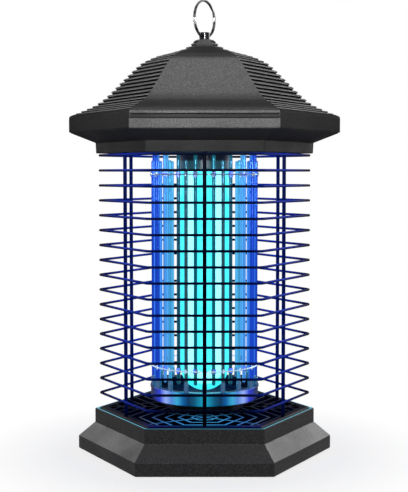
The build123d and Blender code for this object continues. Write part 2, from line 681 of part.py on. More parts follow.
HOLLOW_SIDE = ROOF_R * APOTHEM_RATIO - ROOF_WALL
HOLLOW_FRACTIONS = (0.08, 0.16, 0.25, 0.35, 0.47, 0.6, 0.72, 0.82, 0.9, 0.95)
hollow_outline = [inside_ogee(fraction, ROOF_WALL) for fraction in HOLLOW_FRACTIONS]
hollow_outline.append((HOLLOW_SIDE, hollow_outline[-1][1] - ROOF_WALL / 2))


def half_profile(outline, side):
    """Corners of a closed half profile: the axis, the fascia's bottom and the outline."""
    return [(0, FASCIA_BOTTOM_Z), (side, FASCIA_BOTTOM_Z), *reversed(outline), (0, outline[0][1])]


with BuildPart() as roof_hollow:
    for angle, mode in ((90, Mode.ADD), (30, Mode.INTERSECT), (150, Mode.INTERSECT)):
        with BuildSketch(panel_plane(angle)):
            with BuildLine():
                Polyline(*half_profile(hollow_outline, HOLLOW_SIDE), close=True)
            make_face()
            mirror(about=Plane.YZ)
        extrude(amount=ROOF_HALF_WIDTH, both=True, mode=mode)
    # What stays solid in the hollow: the boss under the apex and the four screw bosses
    with BuildSketch(Plane.XY.offset(APEX_BOSS_BOTTOM_Z)):
        Circle(APEX_BOSS_R)
    extrude(amount=ROOF_APEX_Z - APEX_BOSS_BOTTOM_Z, mode=Mode.SUBTRACT)
    with BuildSketch(Plane.XY.offset(HEAD_BOSS_TOP_Z)):
        for angle in HEAD_SCREW_ANGLES:
            with PolarLocations(HEAD_SCREW_PLACE_R, 1, start_angle=angle):
                Circle(HEAD_BOSS_R)
    extrude(amount=ROOF_APEX_Z - HEAD_BOSS_TOP_Z, mode=Mode.SUBTRACT)

with BuildPart() as roof_shell:
    # Smooth front and back panels
    with BuildSketch(panel_plane(90)):
        with BuildLine():
            add(ogee_curve)
            Polyline(
                ogee_curve @ 1,
                (ROOF_R * APOTHEM_RATIO, FASCIA_BOTTOM_Z),
                (0, FASCIA_BOTTOM_Z),
                (0, ROOF_APEX_Z),
                ogee_curve @ 0,
            )
        make_face()
        mirror(about=Plane.YZ)
    extrude(amount=ROOF_HALF_WIDTH, both=True)
    # Four ribbed side panels
    for angle in (30, 150):
        with BuildSketch(panel_plane(angle)):
            with BuildLine():
                Polyline(*half_profile(ribbed_outline, ROOF_R * APOTHEM_RATIO), close=True)
            make_face()
            mirror(about=Plane.YZ)
        extrude(amount=ROOF_HALF_WIDTH, both=True, mode=Mode.INTERSECT)
    add(roof_hollow.part, mode=Mode.SUBTRACT)
    with BuildSketch(Plane.XY.offset(HEAD_BOSS_TOP_Z)):
        for angle in HEAD_SCREW_ANGLES:
            with PolarLocations(HEAD_SCREW_PLACE_R, 1, start_angle=angle):
                Circle(HOLDER_SCREW_R + CLOSE_FIT)
    extrude(amount=HEAD_SCREW_TOP_Z - HEAD_BOSS_TOP_Z, mode=Mode.SUBTRACT)
    with BuildSketch(Plane.XY.offset(APEX_BOSS_BOTTOM_Z)):
        Circle(STEM_R + CLOSE_FIT)
    extrude(amount=ROOF_APEX_Z - APEX_BOSS_BOTTOM_Z, mode=Mode.SUBTRACT)
roof_shell.part.label = "roof_shell"
export_step(roof_shell.part, "parts/roof_shell.step")


# --- Hanger ---------------------------------------------------------------------------------------------

# The ring lies in an upright plane turned by RING_AZIMUTH; the post's cross hole runs the same way
RING_PLANE = panel_plane(RING_AZIMUTH)
RING_CENTRE_Z = EYE_AXIS_Z + EYE_R - EYE_WIRE / 2

with BuildPart() as hanger_post:
    with BuildSketch(Plane.XY.offset(ROOF_APEX_Z)):
        Circle(POST_R)
    extrude(amount=POST_TOP_Z - ROOF_APEX_Z)
    fillet(hanger_post.faces().sort_by(Axis.Z)[-1].edges(), radius=POST_FILLET)
    with BuildSketch(Plane.XY.offset(STEM_BOTTOM_Z)):
        Circle(STEM_R)
    extrude(amount=ROOF_APEX_Z - STEM_BOTTOM_Z)
    with BuildSketch(Plane(origin=(0, 0, POST_HOLE_Z), x_dir=(0, 0, 1), z_dir=RING_PLANE.x_dir)):
        Circle(POST_HOLE_R)
    extrude(amount=2 * POST_R, both=True, mode=Mode.SUBTRACT)
hanger_post.part.label = "hanger_post"
export_step(hanger_post.part, "parts/hanger_post.step")

with BuildPart() as hanger_washer:
    with BuildSketch(Plane.XY.offset(APEX_BOSS_BOTTOM_Z)):
        Circle(3 * STEM_R)
        Circle(STEM_R + SLIP_FIT, mode=Mode.SUBTRACT)
    extrude(amount=-WASHER_THICKNESS)
hanger_washer.part.label = "hanger_washer"
export_step(hanger_washer.part, "parts/hanger_washer.step")

with BuildPart() as hanger_nut:
    with BuildSketch(Plane.XY.offset(APEX_BOSS_BOTTOM_Z - WASHER_THICKNESS)):
        RegularPolygon(HANGER_NUT_R, SIDES)
        Circle(STEM_R + CLOSE_FIT, mode=Mode.SUBTRACT)
    extrude(amount=-HANGER_NUT_HEIGHT)
hanger_nut.part.label = "hanger_nut"
export_step(hanger_nut.part, "parts/hanger_nut.step")

# Two turns of wire side by side, so the section has a waist
with BuildPart() as hanging_ring:
    with BuildSketch(Plane(origin=(0, 0, RING_CENTRE_Z), x_dir=(0, 0, 1), z_dir=RING_PLANE.x_dir)):
        with Locations((EYE_R - EYE_WIRE / 2, EYE_WIDTH / 4), (EYE_R - EYE_WIRE / 2, -EYE_WIDTH / 4)):
            RectangleRounded(EYE_WIRE, EYE_WIDTH / 2 + SLIP_FIT, EYE_ROUNDING)
    revolve(axis=Axis((0, 0, RING_CENTRE_Z), RING_PLANE.z_dir))
hanging_ring.part.label = "hanging_ring"
export_step(hanging_ring.part, "parts/hanging_ring.step")


# --- Electrical parts in the head -----------------------------------------------------------------------

BOARD_TOP_Z = BOARD_Z + BOARD_THICKNESS

with BuildPart() as board_posts:
    with BuildSketch(Plane.XY.offset(HOLDER_TOP_Z)):
        with GridLocations(2 * BOARD_POST_PLACE, 2 * BOARD_POST_PLACE, 2, 2):
            Circle(BOARD_POST_R)
    extrude(amount=BOARD_Z - HOLDER_TOP_Z)
board_posts.part.label = "board_posts"
export_step(board_posts.part, "parts/board_posts.step")

with BuildPart() as circuit_board:
    with BuildSketch(Plane.XY.offset(BOARD_Z)):
        RectangleRounded(BOARD_SIZE, BOARD_SIZE, BOARD_POST_R)
    extrude(amount=BOARD_THICKNESS)
circuit_board.part.label = "circuit_board"
export_step(circuit_board.part, "parts/circuit_board.step")

with BuildPart() as transformer:
    with BuildSketch(Plane.XY.offset(BOARD_TOP_Z)):
        with Locations(TRANSFORMER_PLACE):
            Rectangle(*TRANSFORMER_SIZE[:2])
    extrude(amount=TRANSFORMER_SIZE[2])
    chamfer(transformer.edges().filter_by(Axis.Z), length=PART_CHAMFER)
transformer.part.label = "transformer"
export_step(transformer.part, "parts/transformer.step")

with BuildPart() as multiplier_block:
    with BuildSketch(Plane.XY.offset(BOARD_TOP_Z)):
        with Locations(MULTIPLIER_PLACE):
            Rectangle(*MULTIPLIER_SIZE[:2])
    extrude(amount=MULTIPLIER_SIZE[2])
    chamfer(multiplier_block.faces().sort_by(Axis.Z)[-1].edges(), length=PART_CHAMFER)
multiplier_block.part.label = "multiplier_block"
export_step(multiplier_block.part, "parts/multiplier_block.step")

with BuildPart() as capacitors:
    with BuildSketch(Plane.XY.offset(BOARD_TOP_Z)):
        with Locations(*CAPACITOR_PLACES):
            Circle(CAPACITOR_R)
    extrude(amount=CAPACITOR_HEIGHT)
    chamfer(capacitors.faces().sort_by(Axis.Z)[-len(CAPACITOR_PLACES):].edges(), length=PART_CHAMFER)
capacitors.part.label = "capacitors"
export_step(capacitors.part, "parts/capacitors.step")

with BuildPart() as lamp_leads:
    with BuildSketch(Plane.XY.offset(SOCKET_TOP_Z)):
        with GridLocations(2 * PIN_PLACE, 2 * PIN_PLACE, 2, 2):
            Circle(LEAD_R)
    extrude(amount=BOARD_Z - SOCKET_TOP_Z)
lamp_leads.part.label = "lamp_leads"
export_step(lamp_leads.part, "parts/lamp_leads.step")

LEADS = [
    ("inner_set_lead", (BUS_INNER_R + BUS_OUTER_R) / 2, HOLDER_TOP_Z + BUS_THICKNESS, 180),
    ("outer_set_lead", OUTER_SET_R, FEED_TOP_Z, 90),
]
for name, lead_r, lead_z, lead_angle in LEADS:
    lead_plane = panel_plane(lead_angle)
    with BuildPart() as lead:
        with BuildLine(lead_plane) as lead_path:
            FilletPolyline(
                (lead_r, lead_z),
                (lead_r, lead_z + LEAD_RISE),
                (BOARD_POST_PLACE, lead_z + LEAD_RISE + 2 * LEAD_BEND),
                (BOARD_POST_PLACE, BOARD_Z),
                radius=LEAD_BEND,
            )
        with BuildSketch(Plane(origin=lead_plane.from_local_coords((lead_r, lead_z, 0)), z_dir=(0, 0, 1))):
            Circle(LEAD_R)
        sweep(path=lead_path.wire())
    lead.part.label = name
    export_step(lead.part, f"parts/{name}.step")
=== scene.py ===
"""Electric bug zapper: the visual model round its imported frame. Metres, +Z up, the front faces -Y."""

import json
import math

import bmesh
import bpy
from mathutils import Matrix, Vector


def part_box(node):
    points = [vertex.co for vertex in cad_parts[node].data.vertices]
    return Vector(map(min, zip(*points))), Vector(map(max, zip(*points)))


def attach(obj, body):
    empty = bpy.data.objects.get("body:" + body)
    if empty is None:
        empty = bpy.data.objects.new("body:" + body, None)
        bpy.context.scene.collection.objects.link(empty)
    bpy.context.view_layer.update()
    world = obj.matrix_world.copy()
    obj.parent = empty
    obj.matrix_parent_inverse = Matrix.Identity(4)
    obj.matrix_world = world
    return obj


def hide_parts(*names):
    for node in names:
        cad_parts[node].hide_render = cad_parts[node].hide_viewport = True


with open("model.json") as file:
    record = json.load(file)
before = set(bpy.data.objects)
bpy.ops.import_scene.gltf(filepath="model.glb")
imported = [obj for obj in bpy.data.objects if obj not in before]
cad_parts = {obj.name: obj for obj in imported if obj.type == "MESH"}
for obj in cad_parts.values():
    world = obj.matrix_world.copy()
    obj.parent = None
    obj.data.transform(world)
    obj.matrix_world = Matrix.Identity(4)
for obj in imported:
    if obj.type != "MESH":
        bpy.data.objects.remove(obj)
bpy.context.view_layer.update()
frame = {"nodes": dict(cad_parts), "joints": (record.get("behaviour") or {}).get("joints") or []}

MM = 0.001
SIDES = 6
HALF_SIDE = math.pi / SIDES
APOTHEM_RATIO = math.cos(HALF_SIDE)
UP = Vector((0, 0, 1))


# --- Places taken from the frame ------------------------------------------------------------------------


def low(node):
    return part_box(node)[0]


def high(node):
    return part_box(node)[1]


def middle(node):
    return (low(node) + high(node)) / 2


# --- Mesh building --------------------------------------------------------------------------------------


def make_object(name, verts, faces, material, sharp=32, merge=True, shades=None):
    """Mesh object with smooth faces, sharp edges above an angle in degrees and normals weighted by area."""
    mesh = bpy.data.meshes.new(name)
    mesh.from_pydata([tuple(v) for v in verts], [], faces)
    if shades:
        mesh.polygons.foreach_set("material_index", shades)
    mesh.validate()
    bm = bmesh.new()
    bm.from_mesh(mesh)
    if merge:
        bmesh.ops.remove_doubles(bm, verts=bm.verts, dist=2e-6)
        bmesh.ops.dissolve_degenerate(bm, edges=bm.edges, dist=1e-6)
    bmesh.ops.recalc_face_normals(bm, faces=bm.faces)
    bm.to_mesh(mesh)
    bm.free()
    mesh.polygons.foreach_set("use_smooth", [True] * len(mesh.polygons))
    mesh.set_sharp_from_angle(angle=math.radians(sharp))
    for one in material if isinstance(material, tuple) else (material,):
        mesh.materials.append(one)
    obj = bpy.data.objects.new(name, mesh)
    bpy.context.scene.collection.objects.link(obj)
    weighted = obj.modifiers.new("weighted", "WEIGHTED_NORMAL")
    weighted.keep_sharp = True
    return obj


def bridge(verts, faces, loops, close_rows=False):
    """Adds loops of equally many points, joined by quads and capped unless the rows close on themselves."""
    start = len(verts)
    count = len(loops[0])
    for loop in loops:
        verts.extend(loop)
    rows = len(loops)
    for row in range(rows if close_rows else rows - 1):
        here = start + row * count
        there = start + ((row + 1) % rows) * count
        for i in range(count):
            j = (i + 1) % count
            faces.append((here + i, here + j, there + j, there + i))
    if not close_rows:
        faces.append(tuple(start + i for i in reversed(range(count))))
        faces.append(tuple(start + (rows - 1) * count + i for i in range(count)))


def circle(radius, z, segments, centre=(0, 0)):
    return [
        Vector((centre[0] + radius * math.cos(a), centre[1] + radius * math.sin(a), z))
        for a in (2 * math.pi * i / segments for i in range(segments))
    ]


def rounded_polygon(corners, radius, steps):
    """Points round a convex polygon of Vectors whose corners are arcs."""
    points = []
    for i, corner in enumerate(corners):
        before = (corners[i - 1] - corner).normalized()
        after = (corners[(i + 1) % len(corners)] - corner).normalized()
        half = before.angle(after) / 2
        centre = corner + (before + after).normalized() * (radius / math.sin(half))
        first = corner + before * (radius / math.tan(half)) - centre
        last = corner + after * (radius / math.tan(half)) - centre
        turn = first.angle(last)
        axis = first.cross(last).normalized()
        for step in range(steps + 1):
            points.append(centre + Matrix.Rotation(turn * step / steps, 3, axis) @ first)
    return points


def hexagon(radius, z, corner=0.0, steps=4):
    """Hexagon with two corners on the X axis; its corners are arcs if corner is above 0."""
    corners = [
        Vector((radius * math.cos(2 * HALF_SIDE * k), radius * math.sin(2 * HALF_SIDE * k), z))
        for k in range(SIDES)
    ]
    return rounded_polygon(corners, corner, steps) if corner else corners


def soften(profile, radius, steps=4, closed=True):
    """Rounds the corners of a profile of (r, z) pairs by arcs of up to this radius."""
    points = [Vector((r, 0, z)) for r, z in profile]
    out = []
    for i, corner in enumerate(points):
        if not closed and i in (0, len(points) - 1):
            out.append((corner.x, corner.z))
            continue
        before = points[i - 1] - corner
        after = points[(i + 1) % len(points)] - corner
        half = before.angle(after) / 2
        reach = min(radius / math.tan(half), 0.45 * before.length, 0.45 * after.length)
        bend = reach * math.tan(half)
        before.normalize()
        after.normalize()
        centre = corner + (before + after).normalized() * (bend / math.sin(half))
        first = corner + before * reach - centre
        last = corner + after * reach - centre
        turn = first.angle(last)
        axis = first.cross(last).normalized()
        for step in range(steps + 1):
            point = centre + Matrix.Rotation(turn * step / steps, 3, axis) @ first
            out.append((point.x, point.z))
    return out


def hex_ring(name, profile, material, corner):
    """Closed hollow hexagonal body: a closed profile of (corner radius, z) carried round six sides."""
    verts, faces = [], []
    bridge(verts, faces, [hexagon(r, z, corner) for r, z in profile], close_rows=True)
    return make_object(name, verts, faces, material)


def lathe(name, profile, material, segments):
    """Turned body from (r, z) pairs, capped flat at both ends."""
    verts, faces = [], []
    bridge(verts, faces, [circle(r, z, segments) for r, z in profile])
    return make_object(name, verts, faces, material)


def tube_loops(path, radius, segments, side, closed=False):
    """Loops of a round tube along a path in one plane; side is that plane's normal."""
    loops = []
    count = len(path)
    for i, point in enumerate(path):
        if closed:
            along = path[(i + 1) % count] - path[i - 1]
        else:
            along = path[min(i + 1, count - 1)] - path[max(i - 1, 0)]
        across = side.cross(along.normalized()).normalized()
        loops.append(
            [
                point + radius * (math.cos(a) * across + math.sin(a) * side)
                for a in (2 * math.pi * s / segments for s in range(segments))
            ]
        )
    return loops


def wire_profile(bottom, top, radius):
    """Heights and radii of an upright wire with rounded ends."""
    steps = 4
    quarter = [math.pi / 2 * (step + 0.35) / steps for step in range(steps)]
    lower = [(bottom + radius * (1 - math.sin(a)), radius * math.cos(a)) for a in reversed(quarter)]
    upper = [(top - (z - bottom), r) for z, r in reversed(lower)]
    return lower + [(bottom + radius, radius), (top - radius, radius)] + upper


def upright_wire(verts, faces, x, y, bottom, top, radius, segments=14):
    loops = [circle(r, z, segments, (x, y)) for z, r in wire_profile(bottom, top, radius)]
    bridge(verts, faces, loops)


def ball(verts, faces, centre, width, height):
    """Small rounded blob, as of weld metal, from its half width and half height."""
    rows, segments = 6, 10
    loops = []
    for row in range(rows + 1):
        a = math.pi * (row + 0.5) / (rows + 1) - math.pi / 2
        r = width * math.cos(a)
        loops.append(circle(r, centre.z + height * math.sin(a), segments, centre))
    bridge(verts, faces, loops)


def polar(radius, degrees, z=0.0):
    a = math.radians(degrees)
    return Vector((radius * math.cos(a), radius * math.sin(a), z))


# --- Materials ------------------------------------------------------------------------------------------


class Shader:
    """A Principled material with a few shortcuts for its nodes."""

    def __init__(self, name, colour, roughness, metallic=0.0):
        self.material = bpy.data.materials.new(name)
        self.material.use_nodes = True
        self.nodes = self.material.node_tree.nodes
        self.links = self.material.node_tree.links
        self.bsdf = self.nodes["Principled BSDF"]
        self.colour = colour
        self.set("Base Color", (*colour, 1))
        self.set("Roughness", roughness)
        self.set("Metallic", metallic)
        coordinates = self.nodes.new("ShaderNodeTexCoord")
        self.place = coordinates.outputs["Object"]
        self.normal = coordinates.outputs["Normal"]

    def set(self, name, value):
        self.bsdf.inputs[name].default_value = value

    def noise(self, scale, detail=4.0, rough=0.5, stretch=(1, 1, 1)):
        """Noise in object space; scale counts features per metre."""
        mapping = self.nodes.new("ShaderNodeMapping")
        mapping.inputs["Scale"].default_value = stretch
        self.links.new(self.place, mapping.inputs["Vector"])
        noise = self.nodes.new("ShaderNodeTexNoise")
        noise.inputs["Scale"].default_value = scale
        noise.inputs["Detail"].default_value = detail
        noise.inputs["Roughness"].default_value = rough
        self.links.new(mapping.outputs["Vector"], noise.inputs["Vector"])
        return noise.outputs["Fac"]

    def math(self, operation, first, second=0.0):
        node = self.nodes.new("ShaderNodeMath")
        node.operation = operation
        for socket, value in zip(node.inputs, (first, second)):
            if isinstance(value, (int, float)):
                socket.default_value = value
            else:
                self.links.new(value, socket)
        return node.outputs["Value"]

    def axes(self):
        """The three object coordinates of the shaded point, in metres."""
        separate = self.nodes.new("ShaderNodeSeparateXYZ")
        self.links.new(self.place, separate.inputs["Vector"])
        return separate.outputs

    def vector_math(self, operation, first, second=None):
        node = self.nodes.new("ShaderNodeVectorMath")
        node.operation = operation
        for socket, value in zip(node.inputs, (first, second)):
            if isinstance(value, tuple):
                socket.default_value = value
            elif value is not None:
                self.links.new(value, socket)
        return node

    def multiply(self, first, second):
        """Product of two colours or colour outputs."""
        return self.vector_math("MULTIPLY", first, second).outputs["Vector"]

    def aside(self, axis, start, end):
        """Distance from the middle along one axis, mapped to 0..1 between two limits."""
        return self.span(self.math("ABSOLUTE", self.axes()[axis]), start, end)

    def flat_place(self):
        """The shaded point brought down to the ground."""
        return self.multiply(self.place, (1, 1, 0))

    def upward(self):
        """1 where the surface looks straight up, 0 where it is upright."""
        return self.vector_math("DOT_PRODUCT", self.normal, (0, 0, 1)).outputs["Value"]

    def reach(self):
        """Distance from the upright axis, in metres."""
        return self.vector_math("LENGTH", self.flat_place()).outputs["Value"]

    def towards_lamp(self):
        """0 where the surface turns its back on the lamp, 1 where it looks at it."""
        outward = self.vector_math("NORMALIZE", self.flat_place()).outputs["Vector"]
        turned = self.vector_math("DOT_PRODUCT", outward, self.normal).outputs["Value"]
        return self.span(turned, 1.0, -1.0)

    def blend(self, factor, first, second):
        """Mix of two colours or colour outputs."""
        mix = self.nodes.new("ShaderNodeMix")
        mix.data_type = "RGBA"
        self.links.new(factor, mix.inputs["Factor"])
        # The node's colour sockets are inputs 6 and 7 and output 2
        for socket, value in ((mix.inputs[6], first), (mix.inputs[7], second)):
            if isinstance(value, tuple):
                socket.default_value = (*value, 1)
            else:
                self.links.new(value, socket)
        return mix.outputs[2]

    def span(self, value, start, end):
        """Value mapped to 0..1 between two limits, clamped."""
        node = self.nodes.new("ShaderNodeMapRange")
        node.inputs["From Min"].default_value = start
        node.inputs["From Max"].default_value = end
        self.links.new(value, node.inputs["Value"])
        return node.outputs["Result"]

    def ramp(self, factor, stops):
        """Colour ramp from (position, colour or grey) stops."""
        ramp = self.nodes.new("ShaderNodeValToRGB")
        elements = ramp.color_ramp.elements
        while len(elements) < len(stops):
            elements.new(0.5)
        for element, (position, value) in zip(elements, stops):
            element.position = position
            element.color = (value, value, value, 1) if isinstance(value, (int, float)) else (*value, 1)
        self.links.new(factor, ramp.inputs["Fac"])
        return ramp.outputs["Color"]

    def paint(self, colour):
        """Base colour from a colour output."""
        self.links.new(colour, self.bsdf.inputs["Base Color"])

    def vary_colour(self, factor, spread, band=0.2):
        """Base colour from darker to lighter by a share either way."""
        dark = tuple(c * (1 - spread) for c in self.colour)
        light = tuple(min(1.0, c * (1 + spread)) for c in self.colour)
        self.paint(self.ramp(factor, [(0.5 - band, dark), (0.5 + band, light)]))

    def vary_roughness(self, factor, lowest, highest):
        self.links.new(self.ramp(factor, [(0.3, lowest), (0.7, highest)]), self.bsdf.inputs["Roughness"])

    def bump(self, factor, height, strength=1.0):
        bump = self.nodes.new("ShaderNodeBump")
        bump.inputs["Distance"].default_value = height
        bump.inputs["Strength"].default_value = strength
        self.links.new(factor, bump.inputs["Height"])
        self.links.new(bump.outputs["Normal"], self.bsdf.inputs["Normal"])

    def glow(self, colour, strength):
        """Glow of one colour, or of a colour output."""
        if isinstance(colour, tuple):
            self.set("Emission Color", (*colour, 1))
        else:
            self.links.new(colour, self.bsdf.inputs["Emission Color"])
        self.set("Emission Strength", strength)


def grained(name, colour, roughness, grain=900, depth=0.12 * MM, spread=0.12, specular=0.5):
    """Textured coat: fine grain in the bump, slight patches in colour and gloss."""
    shader = Shader(name, colour, roughness)
    shader.vary_colour(shader.noise(grain, 3), spread, 0.12)
    shader.vary_roughness(shader.noise(35, 4), roughness - 0.06, roughness + 0.06)
    shader.bump(shader.noise(grain, 2), depth)
    shader.set("Specular IOR Level", specular)
    return shader


def brushed(name, colour, roughness, stretch, scale=260, spread=0.08):
    """Metal with fine lines: the noise is drawn out along the directions where stretch is small."""
    shader = Shader(name, colour, roughness, 1.0)
    lines = shader.noise(scale, 3, 0.6, stretch)
    shader.vary_colour(lines, spread)
    shader.vary_roughness(lines, roughness - 0.05, roughness + 0.07)
    shader.bump(lines, 0.02 * MM, 0.5)
    return shader


GRID_R = 50 * MM
LAMP_LOW, LAMP_HIGH = low("lamp_tube").z, high("lamp_tube").z


def side_distance(shader):
    """How far the shaded point lies to the side of the lamp: 0 in the middle, 1 at the grid's edge."""
    return shader.aside("X", 0.0, GRID_R)


def grid_wire():
    """Plated wire with painted lamp light: teal before the lamp, deep blue beside it, bright towards it."""
    shader = brushed("grid_wire", (0.03, 0.12, 0.4), 0.25, (1, 1, 0.06), 700)
    side = side_distance(shader)
    # Painted light in the base colour too: bluer beside the lamp
    shader.paint(shader.ramp(side, [
        (0.0, (0.02, 0.08, 0.1)),
        (0.5, (0.02, 0.08, 0.15)),
        (0.9, (0.02, 0.07, 0.35)),
    ]))
    away = shader.ramp(side, [
        (0.0, (0.001, 0.12, 0.17)),
        (0.16, (0.001, 0.11, 0.15)),
        (0.33, (0.03, 0.075, 0.09)),
        (0.47, (0.004, 0.06, 0.08)),
        (0.60, (0.06, 0.42, 0.75)),
        (0.72, (0.08, 0.35, 0.90)),
        (0.84, (0.006, 0.05, 0.60)),
        (1.0, (0.004, 0.035, 0.45)),
    ])
    facing = shader.ramp(side, [
        (0.0, (0.15, 0.75, 0.85)),
        (0.65, (0.12, 0.50, 0.85)),
        (1.0, (0.03, 0.15, 0.8)),
    ])
    lit = shader.ramp(shader.towards_lamp(), [(0.1, 0.0), (0.45, 0.1), (0.65, 0.5), (1.0, 1.0)])
    # Painted reflections: thin streaks run along each wire, differently from wire to wire
    round_wire = shader.vector_math("DOT_PRODUCT", shader.normal, (7, 0, 0)).outputs["Value"]
    along_row = shader.math("MULTIPLY", shader.axes()["X"], 900.0)
    wave = shader.math("SINE", shader.math("ADD", round_wire, along_row))
    streaks = shader.ramp(shader.span(wave, -1.0, 1.0), [(0.0, 0.25), (0.5, 0.8), (1.0, 1.25)])
    shader.glow(shader.multiply(shader.blend(lit, away, facing), streaks), 1.0)
    return shader


def cage_enamel(name, share):
    """Black enamel with a share of the lamp's blue light painted on beside the grid, most on its upper
    side.
    """
    shader = grained(name, (0.001, 0.0015, 0.006), 0.5, grain=400, depth=0.02 * MM, specular=0.03)
    beside = shader.ramp(shader.aside("X", 0.0, 2 * GRID_R), [
        (0.35, (0.0, 0.001, 0.012)),
        (0.5, (0.001, 0.010, 0.16)),
        (0.7, (0.002, 0.022, 0.34)),
        (0.85, (0.001, 0.008, 0.16)),
        (0.97, (0.0, 0.0005, 0.008)),
    ])
    turned = shader.ramp(shader.towards_lamp(), [(0.0, 0.8), (1.0, 1.0)])
    lift = shader.ramp(shader.span(shader.upward(), -1.0, 1.0), [(0.2, 0.2), (0.5, 0.6), (0.75, 1.0)])
    # Painted shade: near the plate the cage is dark
    height = shader.span(shader.axes()["Z"], 40 * MM, 75 * MM)
    rise = shader.ramp(height, [(0.0, 0.05), (0.4, 0.6), (1.0, 1.0)])
    colour = shader.multiply(shader.multiply(beside, turned), lift)
    shader.glow(shader.multiply(colour, rise), share)
    return shader


def dish_metal():
    """Bright turned metal whose outer wall has painted reflections: bands of the lamp's colours."""
    shader = brushed("dish_metal", (0.03, 0.08, 0.16), 0.25, (0.15, 0.15, 6), 160)
    bands = shader.ramp(side_distance(shader), [
        (0.04, (0.007, 0.33, 0.51)),
        (0.18, (0.002, 0.09, 0.18)),
        (0.29, (0.0015, 0.03, 0.09)),
        (0.39, (0.0025, 0.11, 0.35)),
        (0.50, (0.045, 0.42, 0.69)),
        (0.60, (0.09, 0.255, 0.716)),
        (0.705, (0.32, 0.46, 1.0)),
        (0.81, (0.03, 0.05, 0.65)),
        (0.95, (0.0, 0.0, 0.05)),
    ])
    wall = shader.ramp(shader.towards_lamp(), [(0.3, 1.0), (0.5, 0.0)])
    shader.glow(shader.multiply(bands, wall), 0.9)
    return shader


def roof_coat():
    """Textured black coat with painted shade: darker on the flatter faces."""
    shader = grained("coat_black", (0.045, 0.045, 0.0457), 0.6, spread=0.35, specular=0.15)
    grain = shader.bsdf.inputs["Base Color"].links[0].from_socket
    painted_top_shade = shader.ramp(shader.upward(), [(0.72, 1.0), (0.92, 0.2)])
    shader.paint(shader.multiply(grain, painted_top_shade))
    return shader


def hoop_steel():
    """Bright wire with a painted highlight glow, brightest low down."""
    shader = brushed("hoop_steel", (0.5, 0.6, 0.75), 0.25, (1, 1, 1), 300)
    height = shader.span(shader.axes()["Z"], LAMP_LOW, LAMP_HIGH)
    shader.glow(shader.ramp(height, [(0.2, (0.40, 0.55, 0.70)), (0.9, (0.05, 0.08, 0.16))]), 0.8)
    return shader


def plate_gloss(name, colour, stops):
    """Glossy plate with the lamp's light painted on its upper faces in front and at the back, near the
    middle.
    """
    shader = grained(name, colour, 0.35, grain=300, depth=0.01 * MM, specular=0.03)
    beside = shader.ramp(shader.aside("X", 0.0, 1.5 * GRID_R), stops)
    near = shader.ramp(shader.aside("Y", 0.6 * GRID_R, 1.2 * GRID_R), [(0.0, 0.08), (1.0, 1.0)])
    tops = shader.ramp(shader.upward(), [(0.5, 0.0), (1.0, 1.0)])
    shader.glow(shader.multiply(shader.multiply(beside, tops), near), 1.0)
    return shader


# Colours of the lamp's light painted on the lattice and on the plate, from the middle outwards
LATTICE_LIGHT_STOPS = [
    (0.0, (0.06, 0.42, 0.85)),
    (0.45, (0.03, 0.15, 0.42)),
    (0.8, (0.05, 0.055, 0.06)),
    (1.0, (0.0, 0.01, 0.02)),
]
PLATE_LIGHT_STOPS = [
    (0.0, (0.0, 0.012, 0.04)),
    (0.4, (0.0, 0.003, 0.06)),
    (0.62, (0.0, 0.001, 0.07)),
    (0.75, (0.0, 0.0, 0.004)),
]


def lamp_glass():
    """Phosphor-coated glass, nearly opaque, with a smooth gloss."""
    shader = Shader("lamp_glass", (0.02, 0.3, 0.3), 0.1)
    shader.set("Alpha", 0.85)
    patches = shader.ramp(shader.noise(60, 3), [(0.3, (0.04, 0.80, 0.86)), (0.7, (0.06, 0.90, 0.95))])
    shader.glow(patches, 1.0)
    shader.bump(shader.noise(90, 2), 0.01 * MM, 0.4)
    return shader


def lamp_glow():
    """The lit column: near white, greener towards its ends."""
    shader = Shader("lamp_glow", (0.5, 0.95, 1.0), 0.6)
    end_colour = (0.05, 0.7, 0.75)
    mid_colour = (0.75, 1.0, 1.0)
    stops = [(0.0, end_colour), (0.08, mid_colour), (0.95, mid_colour), (1.0, end_colour)]
    shader.glow(shader.ramp(shader.span(shader.axes()["Z"], LAMP_LOW, LAMP_HIGH), stops), 3.5)
    return shader


COAT = roof_coat()
# Painted light: a lighter copy of the coat for the lit louvre faces
LIT_LOUVRE_COAT = grained("louvre_black_painted_light", (0.085, 0.085, 0.086), 0.5, spread=0.35, specular=0.3)
# Painted shade: a darker copy of the coat for the sides' edge band
SHADED_EDGE_COAT = grained("edge_black_painted_shade", (0.02, 0.02, 0.0203), 0.75, spread=0.3, specular=0.02)
# Painted shade: a darker copy of the coat for the neck under the roof and the front's groove
SHADED_NECK_COAT = grained("neck_black_painted_shade", (0.012, 0.012, 0.0122), 0.6, spread=0.3, specular=0.08)
SHADOW_COAT = grained("coat_shaded", (0.002, 0.002, 0.002), 0.8, specular=0.02)
BASE_COAT = grained("base_black", (0.06, 0.06, 0.0608), 0.45, spread=0.5)
GLOSS = plate_gloss("plate_gloss", (0.002, 0.003, 0.008), PLATE_LIGHT_STOPS)
LATTICE = plate_gloss("lattice_gloss", (0.006, 0.009, 0.02), LATTICE_LIGHT_STOPS)
CAGE = cage_enamel("cage_enamel", 1.3)
ROD = cage_enamel("rod_enamel", 0.38)
CAP_BLACK = grained("cap_black", (0.008, 0.012, 0.014), 0.35, grain=500, depth=0.02 * MM)
